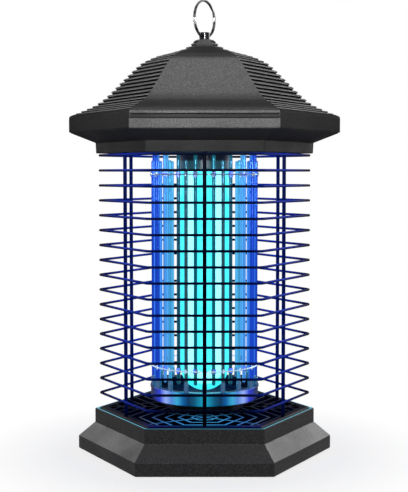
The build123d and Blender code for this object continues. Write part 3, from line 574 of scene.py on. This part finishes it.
# Painted light: a faint teal glow of the lamp on its cap
CAP_BLACK.glow((0.004, 0.045, 0.06), 1.0)
INSULATOR = grained("insulator", (0.008, 0.008, 0.01), 0.4, grain=700, depth=0.03 * MM)
CERAMIC = grained("ceramic", (0.35, 0.45, 0.7), 0.25, grain=300, depth=0.01 * MM, spread=0.05)
RUBBER = grained("rubber", (0.03, 0.03, 0.03), 0.8, grain=500, depth=0.05 * MM)
BOARD = grained("board_green", (0.02, 0.16, 0.06), 0.35, grain=300, depth=0.02 * MM)
PLASTIC_GREY = grained("part_grey", (0.08, 0.08, 0.09), 0.5, grain=600, depth=0.04 * MM)
LEAD_RED = grained("lead_red", (0.4, 0.02, 0.015), 0.4, grain=300, depth=0.02 * MM)
POST = brushed("post_black", (0.08, 0.08, 0.085), 0.22, (1, 1, 0.2), 300)
STEEL = brushed("zinc_steel", (0.55, 0.55, 0.57), 0.35, (1, 1, 1), 300)
BRASS = brushed("brass", (0.72, 0.52, 0.22), 0.3, (1, 1, 1), 300)
# Painted reflections: the chrome's strong light and dark strokes
CHROME = brushed("chrome", (0.16, 0.163, 0.167), 0.32, (1, 1, 1), 150, 0.9)
HOOP = hoop_steel()
# Painted shade on the collar's rim, and a painted highlight glowing on its inner edge
SHADED_RIM = grained("rim_black_painted_shade", (0.004, 0.005, 0.008), 0.4, grain=300, depth=0.02 * MM, specular=0.1)
RIM_HIGHLIGHT = grained("rim_edge_painted_highlight", (0.01, 0.03, 0.04), 0.3, grain=300, depth=0.02 * MM, specular=0.2)
RIM_HIGHLIGHT.glow((0.14, 0.45, 0.58), 1.0)
# Painted light: the lamp's blue glowing on the ferrules
FERRULE = brushed("ferrule_aluminium", (0.25, 0.45, 0.65), 0.3, (1, 1, 0.2), 300)
FERRULE.glow((0.02, 0.08, 0.2), 0.5)
DISH = dish_metal()
WIRE = grid_wire()
LAMP_GLASS = lamp_glass()
LAMP_GLOW = lamp_glow()


# --- Finishing a piece ----------------------------------------------------------------------------------


def finish_piece(obj, body, slot, *nodes):
    """Puts a piece on its body and hides the nodes that it replaces; the slot is not used."""
    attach(obj, body)
    if nodes:
        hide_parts(*nodes)


def join(name, *parts):
    """Joins objects into the first, which takes the name."""
    bpy.ops.object.select_all(action="DESELECT")
    for part in parts:
        part.select_set(True)
    bpy.context.view_layer.objects.active = parts[0]
    bpy.ops.object.join()
    parts[0].name = name
    return parts[0]


# --- Base tray ------------------------------------------------------------------------------------------

SKIRT_BOTTOM = low("base_tray").z
SKIRT_TOP = SKIRT_BOTTOM + 12 * MM
SLOPE_TOP = SKIRT_BOTTOM + 25.1 * MM
COLLAR_TOP = high("base_tray").z
LEDGE_Z = low("grille_plate").z
TRAY_FLOOR = SKIRT_BOTTOM + 2.5 * MM
SKIRT_R = high("base_tray").x
COLLAR_R = SKIRT_R - 15.6 * MM
COLLAR_INNER_R = COLLAR_R - 3.2 * MM
LEDGE_R = COLLAR_R - 6.2 * MM
WALL = 2.9 * MM
BOSS_R = 4 * MM
BOSS_PLACE_R = 93 * MM
PEG_R = 1.8 * MM
PEG_PLACE_R = 94 * MM
PEG_TOP = COLLAR_TOP - 1.2 * MM
PEG_ROUNDING = 0.7 * MM
BOSS_ROUNDING = 0.4 * MM
# Above this height the collar's rim, in painted shade; within this corner radius its inner edge, a painted
# highlight
RIM_FROM = COLLAR_TOP - 0.8 * MM
RIM_EDGE_R = COLLAR_INNER_R + 1.8 * MM


def hexagon_reach(point):
    """Corner radius of the upright hexagon on which a point lies."""
    return max(point.dot(polar(1, 60 * k + 30)) for k in range(SIDES)) / APOTHEM_RATIO


def base_tray():
    """Hollow tray with ledge, collar, slope and skirt, open below between the skirt and the tray's wall."""
    profile = soften(
        [
            (LEDGE_R, TRAY_FLOOR),
            (LEDGE_R, LEDGE_Z),
            (COLLAR_INNER_R, LEDGE_Z),
            (COLLAR_INNER_R, COLLAR_TOP),
            (COLLAR_R, COLLAR_TOP),
            (COLLAR_R, SLOPE_TOP),
            (SKIRT_R, SKIRT_TOP),
            (SKIRT_R, SKIRT_BOTTOM),
            (SKIRT_R - WALL, SKIRT_BOTTOM),
            (SKIRT_R - WALL, SKIRT_TOP - MM),
            (LEDGE_R + WALL, SKIRT_TOP - MM),
            (LEDGE_R + WALL, SKIRT_BOTTOM),
        ],
        1.0 * MM,
        closed=False,
    )
    verts, faces = [], []
    bridge(verts, faces, [hexagon(r, z, 1.4 * MM) for r, z in profile])
    shades = []
    for face in faces:
        spot = sum((verts[i] for i in face), Vector()) / len(face)
        if spot.z < RIM_FROM:
            shades.append(0)
        else:
            shades.append(2 if hexagon_reach(spot) < RIM_EDGE_R else 1)
    materials = (BASE_COAT.material, SHADED_RIM.material, RIM_HIGHLIGHT.material)
    shell = make_object("base_shell", verts, faces, materials, shades=shades)
    verts, faces = [], []
    boss_edge = LEDGE_Z - BOSS_ROUNDING
    boss_profile = [(BOSS_R, TRAY_FLOOR), (BOSS_R, boss_edge), (BOSS_R - BOSS_ROUNDING, LEDGE_Z)]
    peg_profile = [(PEG_R, LEDGE_Z), (PEG_R, PEG_TOP - PEG_ROUNDING), (PEG_R - PEG_ROUNDING, PEG_TOP)]
    for k in range(SIDES):
        boss = polar(BOSS_PLACE_R, 60 * k)
        peg = polar(PEG_PLACE_R, 60 * k)
        bridge(verts, faces, [circle(r, z, 24, boss.xy) for r, z in boss_profile])
        bridge(verts, faces, [circle(r, z, 20, peg.xy) for r, z in peg_profile])
    pegs = make_object("base_pegs", verts, faces, BASE_COAT.material)
    tray = join("base_tray_shell", shell, pegs)
    finish_piece(tray, "base", "base_black", "base_tray")


base_tray()


# --- Cage -----------------------------------------------------------------------------------------------

CAGE_RING_NODES = [f"cage_ring_{number:02d}" for number in range(1, 18)]
CAGE_CORNER = 5 * MM
CAGE_WELD_WIDTH = 0.9 * MM
CAGE_WELD_HEIGHT = 1.3 * MM


def cage_ring(node):
    """Ring of bent wire with rounded corners."""
    wire = (high(node).z - low(node).z) / 2
    z = middle(node).z
    apothem = high(node).y - wire
    verts, faces = [], []
    path = hexagon(apothem / APOTHEM_RATIO, z, CAGE_CORNER, 8)
    bridge(verts, faces, tube_loops(path, wire, 14, UP, closed=True), close_rows=True)
    ring = make_object(node.replace("cage_ring", "ring_wire"), verts, faces, CAGE.material, sharp=60)
    finish_piece(ring, "lantern", "cage_wire", node)


for ring_node in CAGE_RING_NODES:
    cage_ring(ring_node)


def cage_rod(number):
    """Upright rod with a weld where each ring crosses it."""
    node = f"cage_rod_{number}"
    centre = middle(node)
    radius = (high(node).x - low(node).x) / 2
    verts, faces = [], []
    upright_wire(verts, faces, centre.x, centre.y, low(node).z, high(node).z, radius, 24)
    outward = Vector((centre.x, centre.y, 0)).normalized()
    for ring_node in CAGE_RING_NODES:
        weld = Vector((centre.x, centre.y, middle(ring_node).z)) + outward * radius * 0.75
        ball(verts, faces, weld, CAGE_WELD_WIDTH, CAGE_WELD_HEIGHT)
    rod = make_object(f"rod_{number}", verts, faces, ROD.material, sharp=60)
    finish_piece(rod, "lantern", "cage_wire", node)


for rod_number in range(1, 7):
    cage_rod(rod_number)


# --- Zapping grid ---------------------------------------------------------------------------------------

WIRE_R = 1.6 * MM
HOOP_R = 0.6 * MM
OUTER_SET_R = high("outer_wires").y - WIRE_R
INNER_SET_R = high("inner_wires").x - WIRE_R
OUTER_TOP = low("outer_wires").z + 208.6 * MM
HOOP_HEIGHTS = (low("grid_hoops").z + HOOP_R, high("grid_hoops").z - HOOP_R)
SET_SIZE = 18
SET_STEP = 360 / SET_SIZE
OUTER_START, INNER_START = -90, -80
HOOP_WELD_WIDTH = 0.8 * MM
HOOP_WELD_HEIGHT = 1.0 * MM
HOOP_WELD_RISE = 1.1 * MM
HOOP_WELD_INSET = 0.25 * MM
BEAD_R = 2.1 * MM
BEAD_HALF = 2.2 * MM


def wire_set(name, node, radius, first_angle, tops):
    """Upright wires on a circle, rounded at their ends."""
    verts, faces = [], []
    for k, top in enumerate(tops):
        spot = polar(radius, first_angle + SET_STEP * k)
        upright_wire(verts, faces, spot.x, spot.y, low(node).z, top, WIRE_R)
    wires = make_object(name, verts, faces, WIRE.material, sharp=60)
    finish_piece(wires, "lantern", "grid_wire", node)


REAR_WIRE = SET_SIZE // 2
outer_tops = [high("outer_wires").z if k == REAR_WIRE else OUTER_TOP for k in range(SET_SIZE)]
wire_set("outer_set", "outer_wires", OUTER_SET_R, OUTER_START, outer_tops)
wire_set("inner_set", "inner_wires", INNER_SET_R, INNER_START, [high("inner_wires").z] * SET_SIZE)


def hoops():
    """Two thin hoops round the outer set, with a weld on each side of every wire."""
    verts, faces = [], []
    hoop_r = high("grid_hoops").x - HOOP_R
    for z in HOOP_HEIGHTS:
        path = circle(hoop_r, z, 6 * SET_SIZE)
        bridge(verts, faces, tube_loops(path, HOOP_R, 12, UP, closed=True), close_rows=True)
        for k in range(SET_SIZE):
            for height in (z - HOOP_WELD_RISE, z + HOOP_WELD_RISE):
                weld = polar(hoop_r - HOOP_WELD_INSET, OUTER_START + SET_STEP * k, height)
                ball(verts, faces, weld, HOOP_WELD_WIDTH, HOOP_WELD_HEIGHT)
    obj = make_object("hoops", verts, faces, HOOP.material, sharp=60)
    finish_piece(obj, "lantern", "grid_wire", "grid_hoops")


hoops()


def beads():
    """Glazed beads with rounded ends on the inner wires, level with the hoops."""
    outline = [(WIRE_R, -BEAD_HALF), (BEAD_R, -BEAD_HALF), (BEAD_R, BEAD_HALF), (WIRE_R, BEAD_HALF)]
    profile = soften(outline, 0.45 * MM)
    verts, faces = [], []
    for z in HOOP_HEIGHTS:
        for k in range(SET_SIZE):
            spot = polar(INNER_SET_R, INNER_START + SET_STEP * k)
            bridge(verts, faces, [circle(r, z + up, 20, spot.xy) for r, up in profile], close_rows=True)
    obj = make_object("beads", verts, faces, CERAMIC.material)
    finish_piece(obj, "lantern", "bead_white", "grid_beads")


beads()


def ferrules():
    """Stepped metal standoffs under the outer wires."""
    bottom, top = low("ferrules").z, high("ferrules").z
    size = high("ferrules").y - OUTER_SET_R
    profile = [
        (WIRE_R, bottom + 1.5 * MM),
        (size, bottom),
        (size, top - 2.2 * MM),
        (size - 0.2 * MM, top - 1.9 * MM),
        (size - 0.2 * MM, top - 0.4 * MM),
        (size - 0.4 * MM, top),
        (WIRE_R, top),
    ]
    verts, faces = [], []
    for k in range(SET_SIZE):
        spot = polar(OUTER_SET_R, OUTER_START + SET_STEP * k)
        bridge(verts, faces, [circle(r, z, 20, spot.xy) for r, z in profile], close_rows=True)
    obj = make_object("standoff_ferrules", verts, faces, FERRULE.material)
    finish_piece(obj, "lantern", "ferrule_metal", "ferrules")


ferrules()


def lower_dish():
    """Turned dish with a rolled rim, a step inside and a shallow floor."""
    r = high("lower_grid_holder").x
    bottom, top = low("lower_grid_holder").z, high("lower_grid_holder").z
    profile = soften(
        [
            (0.5 * MM, bottom),
            (r - 1.2 * MM, bottom),
            (r - 0.6 * MM, bottom + 1.2 * MM),
            (r - 0.6 * MM, top - 2.4 * MM),
            (r, top - 1.9 * MM),
            (r, top),
            (r - 6.3 * MM, top),
            (r - 7.2 * MM, bottom + 2.8 * MM),
            (0.5 * MM, bottom + 2.8 * MM),
        ],
        0.5 * MM,
        closed=False,
    )
    dish = lathe("grid_dish", profile, DISH.material, 96)
    finish_piece(dish, "lantern", "holder_metal", "lower_grid_holder")


lower_dish()


# --- Lamp -----------------------------------------------------------------------------------------------


def u_path(node, end_z):
    """Centre line of a U-shaped tube: down one leg, round the bend and up the other."""
    size = (high(node).y - low(node).y) / 2
    centre = middle(node)
    leg_x = high(node).x - size
    bend_z = low(node).z + size + leg_x
    steps = 20
    path = [Vector((-leg_x, centre.y, end_z)), Vector((-leg_x, centre.y, (end_z + bend_z) / 2))]
    for step in range(steps + 1):
        a = math.pi + math.pi * step / steps
        path.append(Vector((leg_x * math.cos(a), centre.y, bend_z + leg_x * math.sin(a))))
    path += [Vector((leg_x, centre.y, (end_z + bend_z) / 2)), Vector((leg_x, centre.y, end_z))]
    return path, size


def lamp():
    """Bent glass tube with the lit column inside it."""
    path, size = u_path("lamp_tube", LAMP_HIGH)
    verts, faces = [], []
    bridge(verts, faces, tube_loops(path, size, 40, Vector((0, 1, 0))))
    glass = make_object("lamp_glass", verts, faces, LAMP_GLASS.material, sharp=60)
    finish_piece(glass, "lantern", "lamp_glass", "lamp_tube")
    verts, faces = [], []
    bridge(verts, faces, tube_loops(path, size * 0.5, 24, Vector((0, 1, 0))))
    column = make_object("lamp_column", verts, faces, LAMP_GLOW.material, sharp=60)
    finish_piece(column, "lantern", "lamp_glass")


lamp()


# --- Head: neck, underside and roof ---------------------------------------------------------------------

NECK_BOTTOM = low("neck_housing").z
NECK_R = high("roof_shell").x - 24.3 * MM
NECK_TOP = NECK_BOTTOM + 9.7 * MM
NECK_WALL = 2.6 * MM
NECK_FLOOR = 3 * MM
NECK_OPENING_R = 58 * MM
FASCIA_BOTTOM = low("roof_shell").z
ROOF_R = high("roof_shell").x
LIP_R = ROOF_R - 3.9 * MM


def neck():
    """Neck and sloping underside, a thin shell with a lip inside the roof."""
    top = high("neck_housing").z
    profile = soften(
        [
            (NECK_OPENING_R, NECK_BOTTOM),
            (NECK_R - 0.5 * MM, NECK_BOTTOM),
            (NECK_R, NECK_TOP),
            (ROOF_R, FASCIA_BOTTOM),
            (LIP_R, FASCIA_BOTTOM + 0.1 * MM),
            (LIP_R, top),
            (LIP_R - NECK_WALL, top),
            (LIP_R - NECK_WALL, FASCIA_BOTTOM - 0.5 * MM),
            (NECK_R - NECK_WALL, NECK_TOP + MM),
            (NECK_R - NECK_WALL, NECK_BOTTOM + NECK_FLOOR),
            (NECK_OPENING_R, NECK_BOTTOM + NECK_FLOOR),
        ],
        0.5 * MM,
        steps=3,
    )
    # The neck is in painted shade, as under the roof's overhang
    housing = hex_ring("neck_shell", profile, SHADED_NECK_COAT.material, 1.2 * MM)
    finish_piece(housing, "lantern", "housing_black", "neck_housing")


neck()

# Corner radius and height of the ogee in millimetres, from the apex down to the fascia
ROOF_OGEE = [
    (8.0, 382.0),
    (18.5, 374.8),
    (30.0, 371.0),
    (44.5, 367.3),
    (53.5, 363.6),
    (61.0, 359.2),
    (75.5, 345.4),
    (91.0, 330.2),
    (100.5, 323.2),
    (108.5, 319.3),
    (118.0, 315.4),
    (123.2, 312.8),
]
RIB_COUNT = 24
RIB_FIRST = 0.021
RIB_LAST = 0.985
RIB_DEPTH = 2.3 * MM
RIB_INSET = 0.3 * MM
# One louvre, from the shade under the one above it down to its own lip and the groove:
# (share of the pitch, share of the depth)
RIB_SHAPE = [
    (0.0, 0.62),
    (0.12, 0.36),
    (0.32, 0.14),
    (0.52, 0.0),
    (0.60, 0.04),
    (0.66, 0.22),
    (0.68, 1.0),
    (0.985, 1.0),
]
# The share of the depth from which a louvre is in the shade of the one above it
SHADE_FROM = 0.2
PANEL_WALL = 3.4 * MM
INNER_STATIONS = (0.94, 0.85, 0.72, 0.6, 0.47, 0.35, 0.25, 0.16, 0.1)
# The smooth panels, counted from the corner on +X: the back is 1, the front 4
FRONT_AND_BACK = (1, 4)

# The edge below the panels: bead, groove and flat band in front and at the back, plain at the sides
EDGE = ROOF_R * APOTHEM_RATIO
EDGE_WALL = 3 * MM
BEAD_TOP = FASCIA_BOTTOM + 14.6 * MM
BEAD_BOTTOM = FASCIA_BOTTOM + 12.4 * MM
BEAD_INSET = 0.4 * MM
GROOVE_TOP = FASCIA_BOTTOM + 11.6 * MM
GROOVE_BOTTOM = FASCIA_BOTTOM + 8.9 * MM
GROOVE_INSET = 1.8 * MM
BAND_TOP = FASCIA_BOTTOM + 8.0 * MM
# Heights between which the front's groove is in painted shade
DARK_FROM, DARK_TO = BAND_TOP + 0.2 * MM, BEAD_BOTTOM - 0.1 * MM
SIDE_ROUND_FROM = FASCIA_BOTTOM + 12.6 * MM

# Roof coats: body, painted shadow, painted shade in the front's groove, painted light on the louvres,
# painted shade on the side edges
BODY_SHADE, SHADOW_SHADE, GROOVE_SHADE, LOUVRE_SHADE, EDGE_SHADE = range(5)
ROOF_COATS = (COAT, SHADOW_COAT, SHADED_NECK_COAT, LIT_LOUVRE_COAT, SHADED_EDGE_COAT)


def smooth_curve(points):
    """Catmull-Rom curve through points, as a dense list."""
    steps = 24
    padded = [2 * points[0] - points[1]] + points + [2 * points[-1] - points[-2]]
    out = []
    for i in range(1, len(padded) - 2):
        p0, p1, p2, p3 = padded[i - 1 : i + 3]
        for step in range(steps):
            t = step / steps
            out.append(
                0.5
                * (
                    2 * p1
                    + (p2 - p0) * t
                    + (2 * p0 - 5 * p1 + 4 * p2 - p3) * t * t
                    + (3 * p1 - p0 - 3 * p2 + p3) * t**3
                )
            )
    out.append(points[-1])
    return out


class Ogee:
    """The roof's outline in a panel's own plane: x is the apothem, z the height."""

    def __init__(self):
        corners = [Vector((r * APOTHEM_RATIO * MM, 0, z * MM)) for r, z in ROOF_OGEE]
        self.points = smooth_curve(corners)
        self.lengths = [0.0]
        for a, b in zip(self.points, self.points[1:]):
            self.lengths.append(self.lengths[-1] + (b - a).length)

    def at(self, fraction, depth=0.0):
        """Point at this fraction of the length, moved into the roof by a depth."""
        wanted = min(max(fraction, 0.0), 1.0) * self.lengths[-1]
        i = 1
        while self.lengths[i] < wanted and i < len(self.lengths) - 1:
            i += 1
        a, b = self.points[i - 1], self.points[i]
        share = (wanted - self.lengths[i - 1]) / (self.lengths[i] - self.lengths[i - 1])
        along = (b - a).normalized()
        inward = Vector((along.z, 0, -along.x))
        return a.lerp(b, share) + inward * depth


def rib_stations():
    """Places down a louvred panel, as (share of the outline's length, depth below it)."""
    pitch = (RIB_LAST - RIB_FIRST) / RIB_COUNT
    stations = [(RIB_FIRST * i / 12, 0.0) for i in range(13)]
    for rib in range(RIB_COUNT):
        for share, depth in RIB_SHAPE:
            if rib or share:
                place = RIB_FIRST + pitch * (rib + share)
                stations.append((place, RIB_INSET + depth * (RIB_DEPTH - RIB_INSET)))
    stations.append((RIB_LAST, RIB_INSET))
    return stations


def rib_shades(stations):
    """Painted shadow where a panel lies deep or drops steeply, the louvres' coat with painted light
    elsewhere.
    """
    deep = RIB_INSET + SHADE_FROM * (RIB_DEPTH - RIB_INSET)
    shades = []
    for (_, above), (_, below) in zip(stations, stations[1:]):
        hidden = min(above, below) > deep or abs(above - below) > MM
        shades.append(SHADOW_SHADE if hidden else LOUVRE_SHADE)
    return shades


def front_edge(start):
    """Edge of a smooth panel from its last point down and back up inside."""
    outline = [
        (start.x, start.z),
        (EDGE - BEAD_INSET, BEAD_TOP),
        (EDGE - BEAD_INSET, BEAD_BOTTOM),
        (EDGE - GROOVE_INSET, GROOVE_TOP),
        (EDGE - GROOVE_INSET, GROOVE_BOTTOM),
        (EDGE, BAND_TOP),
        (EDGE, FASCIA_BOTTOM),
        (EDGE - EDGE_WALL, FASCIA_BOTTOM),
        (EDGE - EDGE_WALL, BAND_TOP + MM),
    ]
    return [Vector((x, 0, z)) for x, z in soften(outline, 0.7 * MM, steps=3, closed=False)[1:]]


def side_edge(point, start):
    """A point of the front's edge moved out to a side's plain edge, whose top corner is rounded."""
    if point.z < BAND_TOP - MM or point.x < EDGE - 0.8 * EDGE_WALL:
        return point
    share = max((point.z - SIDE_ROUND_FROM) / (start.z - SIDE_ROUND_FROM), 0.0)
    return Vector((start.x + (EDGE - start.x) * math.sqrt(1 - share**2), 0, point.z))


def roof_corners(line, k):
    """A line of panel points carried to the roof's corner number k."""
    return [polar(point.x / APOTHEM_RATIO, 60 * k, point.z) for point in line]


def roof():
    """Ogee roof: smooth panels in front and at the back, louvred ones at the sides, and its edge."""
    ogee = Ogee()
    stations = rib_stations()
    smooth = [ogee.at(share) for share, _ in stations]
    ribbed = [ogee.at(share, depth) for share, depth in stations]
    front_tail = front_edge(smooth[-1])
    side_tail = [side_edge(point, smooth[-1]) for point in front_tail]
    inside = [ogee.at(share, PANEL_WALL) for share in INNER_STATIONS]
    heights = [(a.z + b.z) / 2 for a, b in zip([ribbed[-1]] + front_tail, front_tail)]
    front_shades = [BODY_SHADE] * (len(stations) - 1)
    front_shades += [GROOVE_SHADE if DARK_FROM < z < DARK_TO else BODY_SHADE for z in heights]
    side_shades = rib_shades(stations) + [EDGE_SHADE] * len(side_tail)
    verts, faces, shades = [], [], []

    def strip(line_a, line_b, line_shades):
        """Quads between two lines, in the given shades and after those in the body's."""
        start = len(verts)
        for a, b in zip(line_a, line_b):
            verts.extend([a, b])
        for i in range(len(line_a) - 1):
            here = start + 2 * i
            faces.append((here, here + 1, here + 3, here + 2))
            shades.append(line_shades[i] if i < len(line_shades) else BODY_SHADE)

    front, side = smooth + front_tail, ribbed + side_tail
    for panel in range(SIDES):
        plain = panel in FRONT_AND_BACK
        line = (front if plain else side) + inside
        panel_shades = front_shades if plain else side_shades
        strip(roof_corners(line, panel), roof_corners(line, panel + 1), panel_shades)
    for panel in FRONT_AND_BACK:
        for k in (panel, panel + 1):
            strip(roof_corners(front, k), roof_corners(side, k), [])
    for point in (smooth[0], inside[-1]):
        faces.append(tuple(range(len(verts), len(verts) + SIDES)))
        verts.extend(roof_corners([point], k)[0] for k in range(SIDES))
        shades.append(BODY_SHADE)
    materials = tuple(coat.material for coat in ROOF_COATS)
    shell = make_object("roof_panels", verts, faces, materials, sharp=28, shades=shades)
    finish_piece(shell, "lantern", "housing_black", "roof_shell")


roof()


# --- Hanger ---------------------------------------------------------------------------------------------


RING_WIRE = 0.84 * MM
RING_GAP = 0.06 * MM
RING_TURNS = 2
RING_STEP_OVER = 1.36 * MM
RING_START = 0.6


def split_ring():
    """Two turns of flattened wire, one beside the other, with thinner ends."""
    centre = middle("hanging_ring")
    outer = (high("hanging_ring").z - low("hanging_ring").z) / 2
    hinge = [j for j in frame["joints"] if j["name"] == "ring_swing"][0]
    level = Vector(hinge["axis"]).normalized()
    side = level.cross(UP).normalized()
    radius = outer - RING_WIRE - RING_GAP
    steps = 200
    loops = []
    for i in range(steps + 1):
        a = 2 * math.pi * RING_TURNS * i / steps + RING_START
        outward = math.cos(a) * level + math.sin(a) * UP
        # The wire steps sideways over a short stretch in the middle of its length
        step_over = min(max((i / steps - 0.47) / 0.06, 0.0), 1.0)
        point = centre + radius * outward + (step_over - 0.5) * RING_STEP_OVER * side
        outward = (point - centre).normalized()
        size = RING_WIRE * min(1.0, 0.55 + 0.3 * min(i, steps - i))
        loops.append(
            [
                point + size * (math.cos(b) * outward + 0.8 * math.sin(b) * side)
                for b in (2 * math.pi * s / 14 for s in range(14))
            ]
        )
    verts, faces = [], []
    bridge(verts, faces, loops)
    ring = make_object("split_ring", verts, faces, CHROME.material, sharp=60, merge=False)
    finish_piece(ring, "ring", "chrome", "hanging_ring")


split_ring()


# --- Carried-over nodes ---------------------------------------------------------------------------------

NODE_SHADERS = {
    "rubber_feet": RUBBER,
    "grille_plate": GLOSS,
    "grille_bars": LATTICE,
    "rod_nuts_lower": STEEL,
    "rod_nuts_upper": STEEL,
    "holder_pedestal": INSULATOR,
    "holder_screws": STEEL,
    "upper_grid_holder": INSULATOR,
    "bus_ring": BRASS,
    "lamp_cap": CAP_BLACK,
    "lamp_pins": BRASS,
    "lamp_socket": INSULATOR,
    "cord_gland": INSULATOR,
    "head_screws": STEEL,
    "hanger_post": POST,
    "hanger_washer": STEEL,
    "hanger_nut": STEEL,
    "board_posts": INSULATOR,
    "circuit_board": BOARD,
    "transformer": PLASTIC_GREY,
    "multiplier_block": PLASTIC_GREY,
    "capacitors": PLASTIC_GREY,
    "lamp_leads": LEAD_RED,
    "inner_set_lead": LEAD_RED,
    "outer_set_lead": LEAD_RED,
}


EDGE_ROUNDING = 0.25 * MM


def dress_node(name, shader):
    """Gives a carried-over node its material and small rounded edges."""
    node = frame["nodes"][name]
    for slot in node.material_slots:
        slot.link = "OBJECT"
        slot.material = shader.material
    weld = node.modifiers.new("weld", "WELD")
    weld.merge_threshold = 1e-6
    rounding = node.modifiers.new("rounding", "BEVEL")
    rounding.width = EDGE_ROUNDING
    rounding.segments = 2
    rounding.limit_method = "ANGLE"
    rounding.angle_limit = math.radians(40)
    weighted = node.modifiers.new("weighted", "WEIGHTED_NORMAL")
    weighted.keep_sharp = True


for node_name, node_shader in NODE_SHADERS.items():
    dress_node(node_name, node_shader)


# --- Floor, light and camera ----------------------------------------------------------------------------


def floor():
    """Pale floor: a faint sheen and shade round the object, fading into the white beyond."""
    shader = Shader("floor_white", (0.9, 0.9, 0.9), 0.18)
    shader.vary_roughness(shader.noise(3, 2), 0.15, 0.22)
    fade = shader.span(shader.reach(), 0.13, 0.22)
    shader.links.new(shader.ramp(fade, [(0.0, 0.2), (1.0, 0.0)]), shader.bsdf.inputs["Alpha"])
    verts = [(-1, -1, 0), (1, -1, 0), (1, 1, 0), (-1, 1, 0)]
    make_object("floor", verts, [(0, 1, 2, 3)], shader.material)


floor()


def area_light(name, place, target, size, power):
    light = bpy.data.lights.new(name, "AREA")
    light.shape = "RECTANGLE"
    light.size, light.size_y = size
    light.energy = power
    obj = bpy.data.objects.new(name, light)
    bpy.context.scene.collection.objects.link(obj)
    obj.location = place
    obj.rotation_euler = (Vector(target) - Vector(place)).to_track_quat("-Z", "Y").to_euler()
    obj.visible_camera = False
    return obj


def point_light(name, place, power, colour):
    light = bpy.data.lights.new(name, "POINT")
    light.energy = power
    light.color = colour
    light.shadow_soft_size = 4 * MM
    obj = bpy.data.objects.new(name, light)
    bpy.context.scene.collection.objects.link(obj)
    obj.location = place
    obj.visible_camera = False
    obj.visible_glossy = False
    return obj


ROOF_FRONT = Vector((0, -0.08, 0.375))
BASE_TOP = Vector((0, 0, 0.04))
BACK_SIZE = (0.5, 0.5)
BLUE = (0.03, 0.1, 1.0)
BLUE_POWER = 0.04
BLUE_R = 64 * MM

roof_light = area_light("roof_front", (0, -1.0, 0.36), ROOF_FRONT, (0.3, 0.1), 0.6)
roof_light.data.spread = math.radians(20)
base_light = area_light("base_front", (0, -1.0, 0.9), BASE_TOP, (0.3, 0.3), 0.07)
base_light.data.spread = math.radians(25)
area_light("top", (0, 0.1, 1.6), (0, 0, 0.3), (1.2, 1.2), 3.5)
area_light("back_left", (-0.70, 0.62, 0.45), BASE_TOP, BACK_SIZE, 1.6)
area_light("back_right", (0.70, 0.62, 0.45), BASE_TOP, BACK_SIZE, 3.2)

# The lamp's blue on what lies round the grid
for light_z in (90 * MM, 150 * MM, 210 * MM, 262 * MM):
    for light_angle in range(0, 360, 60):
        spot = polar(BLUE_R, light_angle, light_z)
        point_light(f"blue_{light_angle}_{round(light_z / MM)}", spot, BLUE_POWER, BLUE)


SKY_FLOOD = 0.12
SKY_GLOSS = 0.22


def sky():
    """White studio: plain white to the eye, much softer as a light."""
    world = bpy.data.worlds.new("studio")
    bpy.context.scene.world = world
    world.use_nodes = True
    nodes, links = world.node_tree.nodes, world.node_tree.links
    background = nodes["Background"]
    path = nodes.new("ShaderNodeLightPath")
    eye = nodes.new("ShaderNodeMath")
    eye.operation = "MULTIPLY_ADD"
    eye.inputs[1].default_value = 1.0 - SKY_FLOOD
    eye.inputs[2].default_value = SKY_FLOOD
    gloss = nodes.new("ShaderNodeMath")
    gloss.operation = "MULTIPLY_ADD"
    gloss.inputs[1].default_value = SKY_GLOSS - SKY_FLOOD
    links.new(path.outputs["Is Camera Ray"], eye.inputs[0])
    links.new(path.outputs["Is Glossy Ray"], gloss.inputs[0])
    links.new(eye.outputs["Value"], gloss.inputs[2])
    links.new(gloss.outputs["Value"], background.inputs["Strength"])
    background.inputs["Color"].default_value = (1, 1, 1, 1)


sky()
bpy.context.scene.view_settings.view_transform = "Standard"


CAMERA_PLACE = (-0.5 * MM, -1.035, 0.2588)
CAMERA_PITCH = 3.7
CAMERA_LENS = 81.4


def camera():
    """Camera at the front, a little above the middle, looking slightly down."""
    data = bpy.data.cameras.new("camera")
    data.lens = CAMERA_LENS
    data.sensor_width = 36
    data.clip_start = 0.01
    data.dof.use_dof = False
    obj = bpy.data.objects.new("camera", data)
    bpy.context.scene.collection.objects.link(obj)
    obj.location = CAMERA_PLACE
    obj.rotation_euler = (math.radians(90 - CAMERA_PITCH), 0, 0)
    bpy.context.scene.camera = obj


camera()
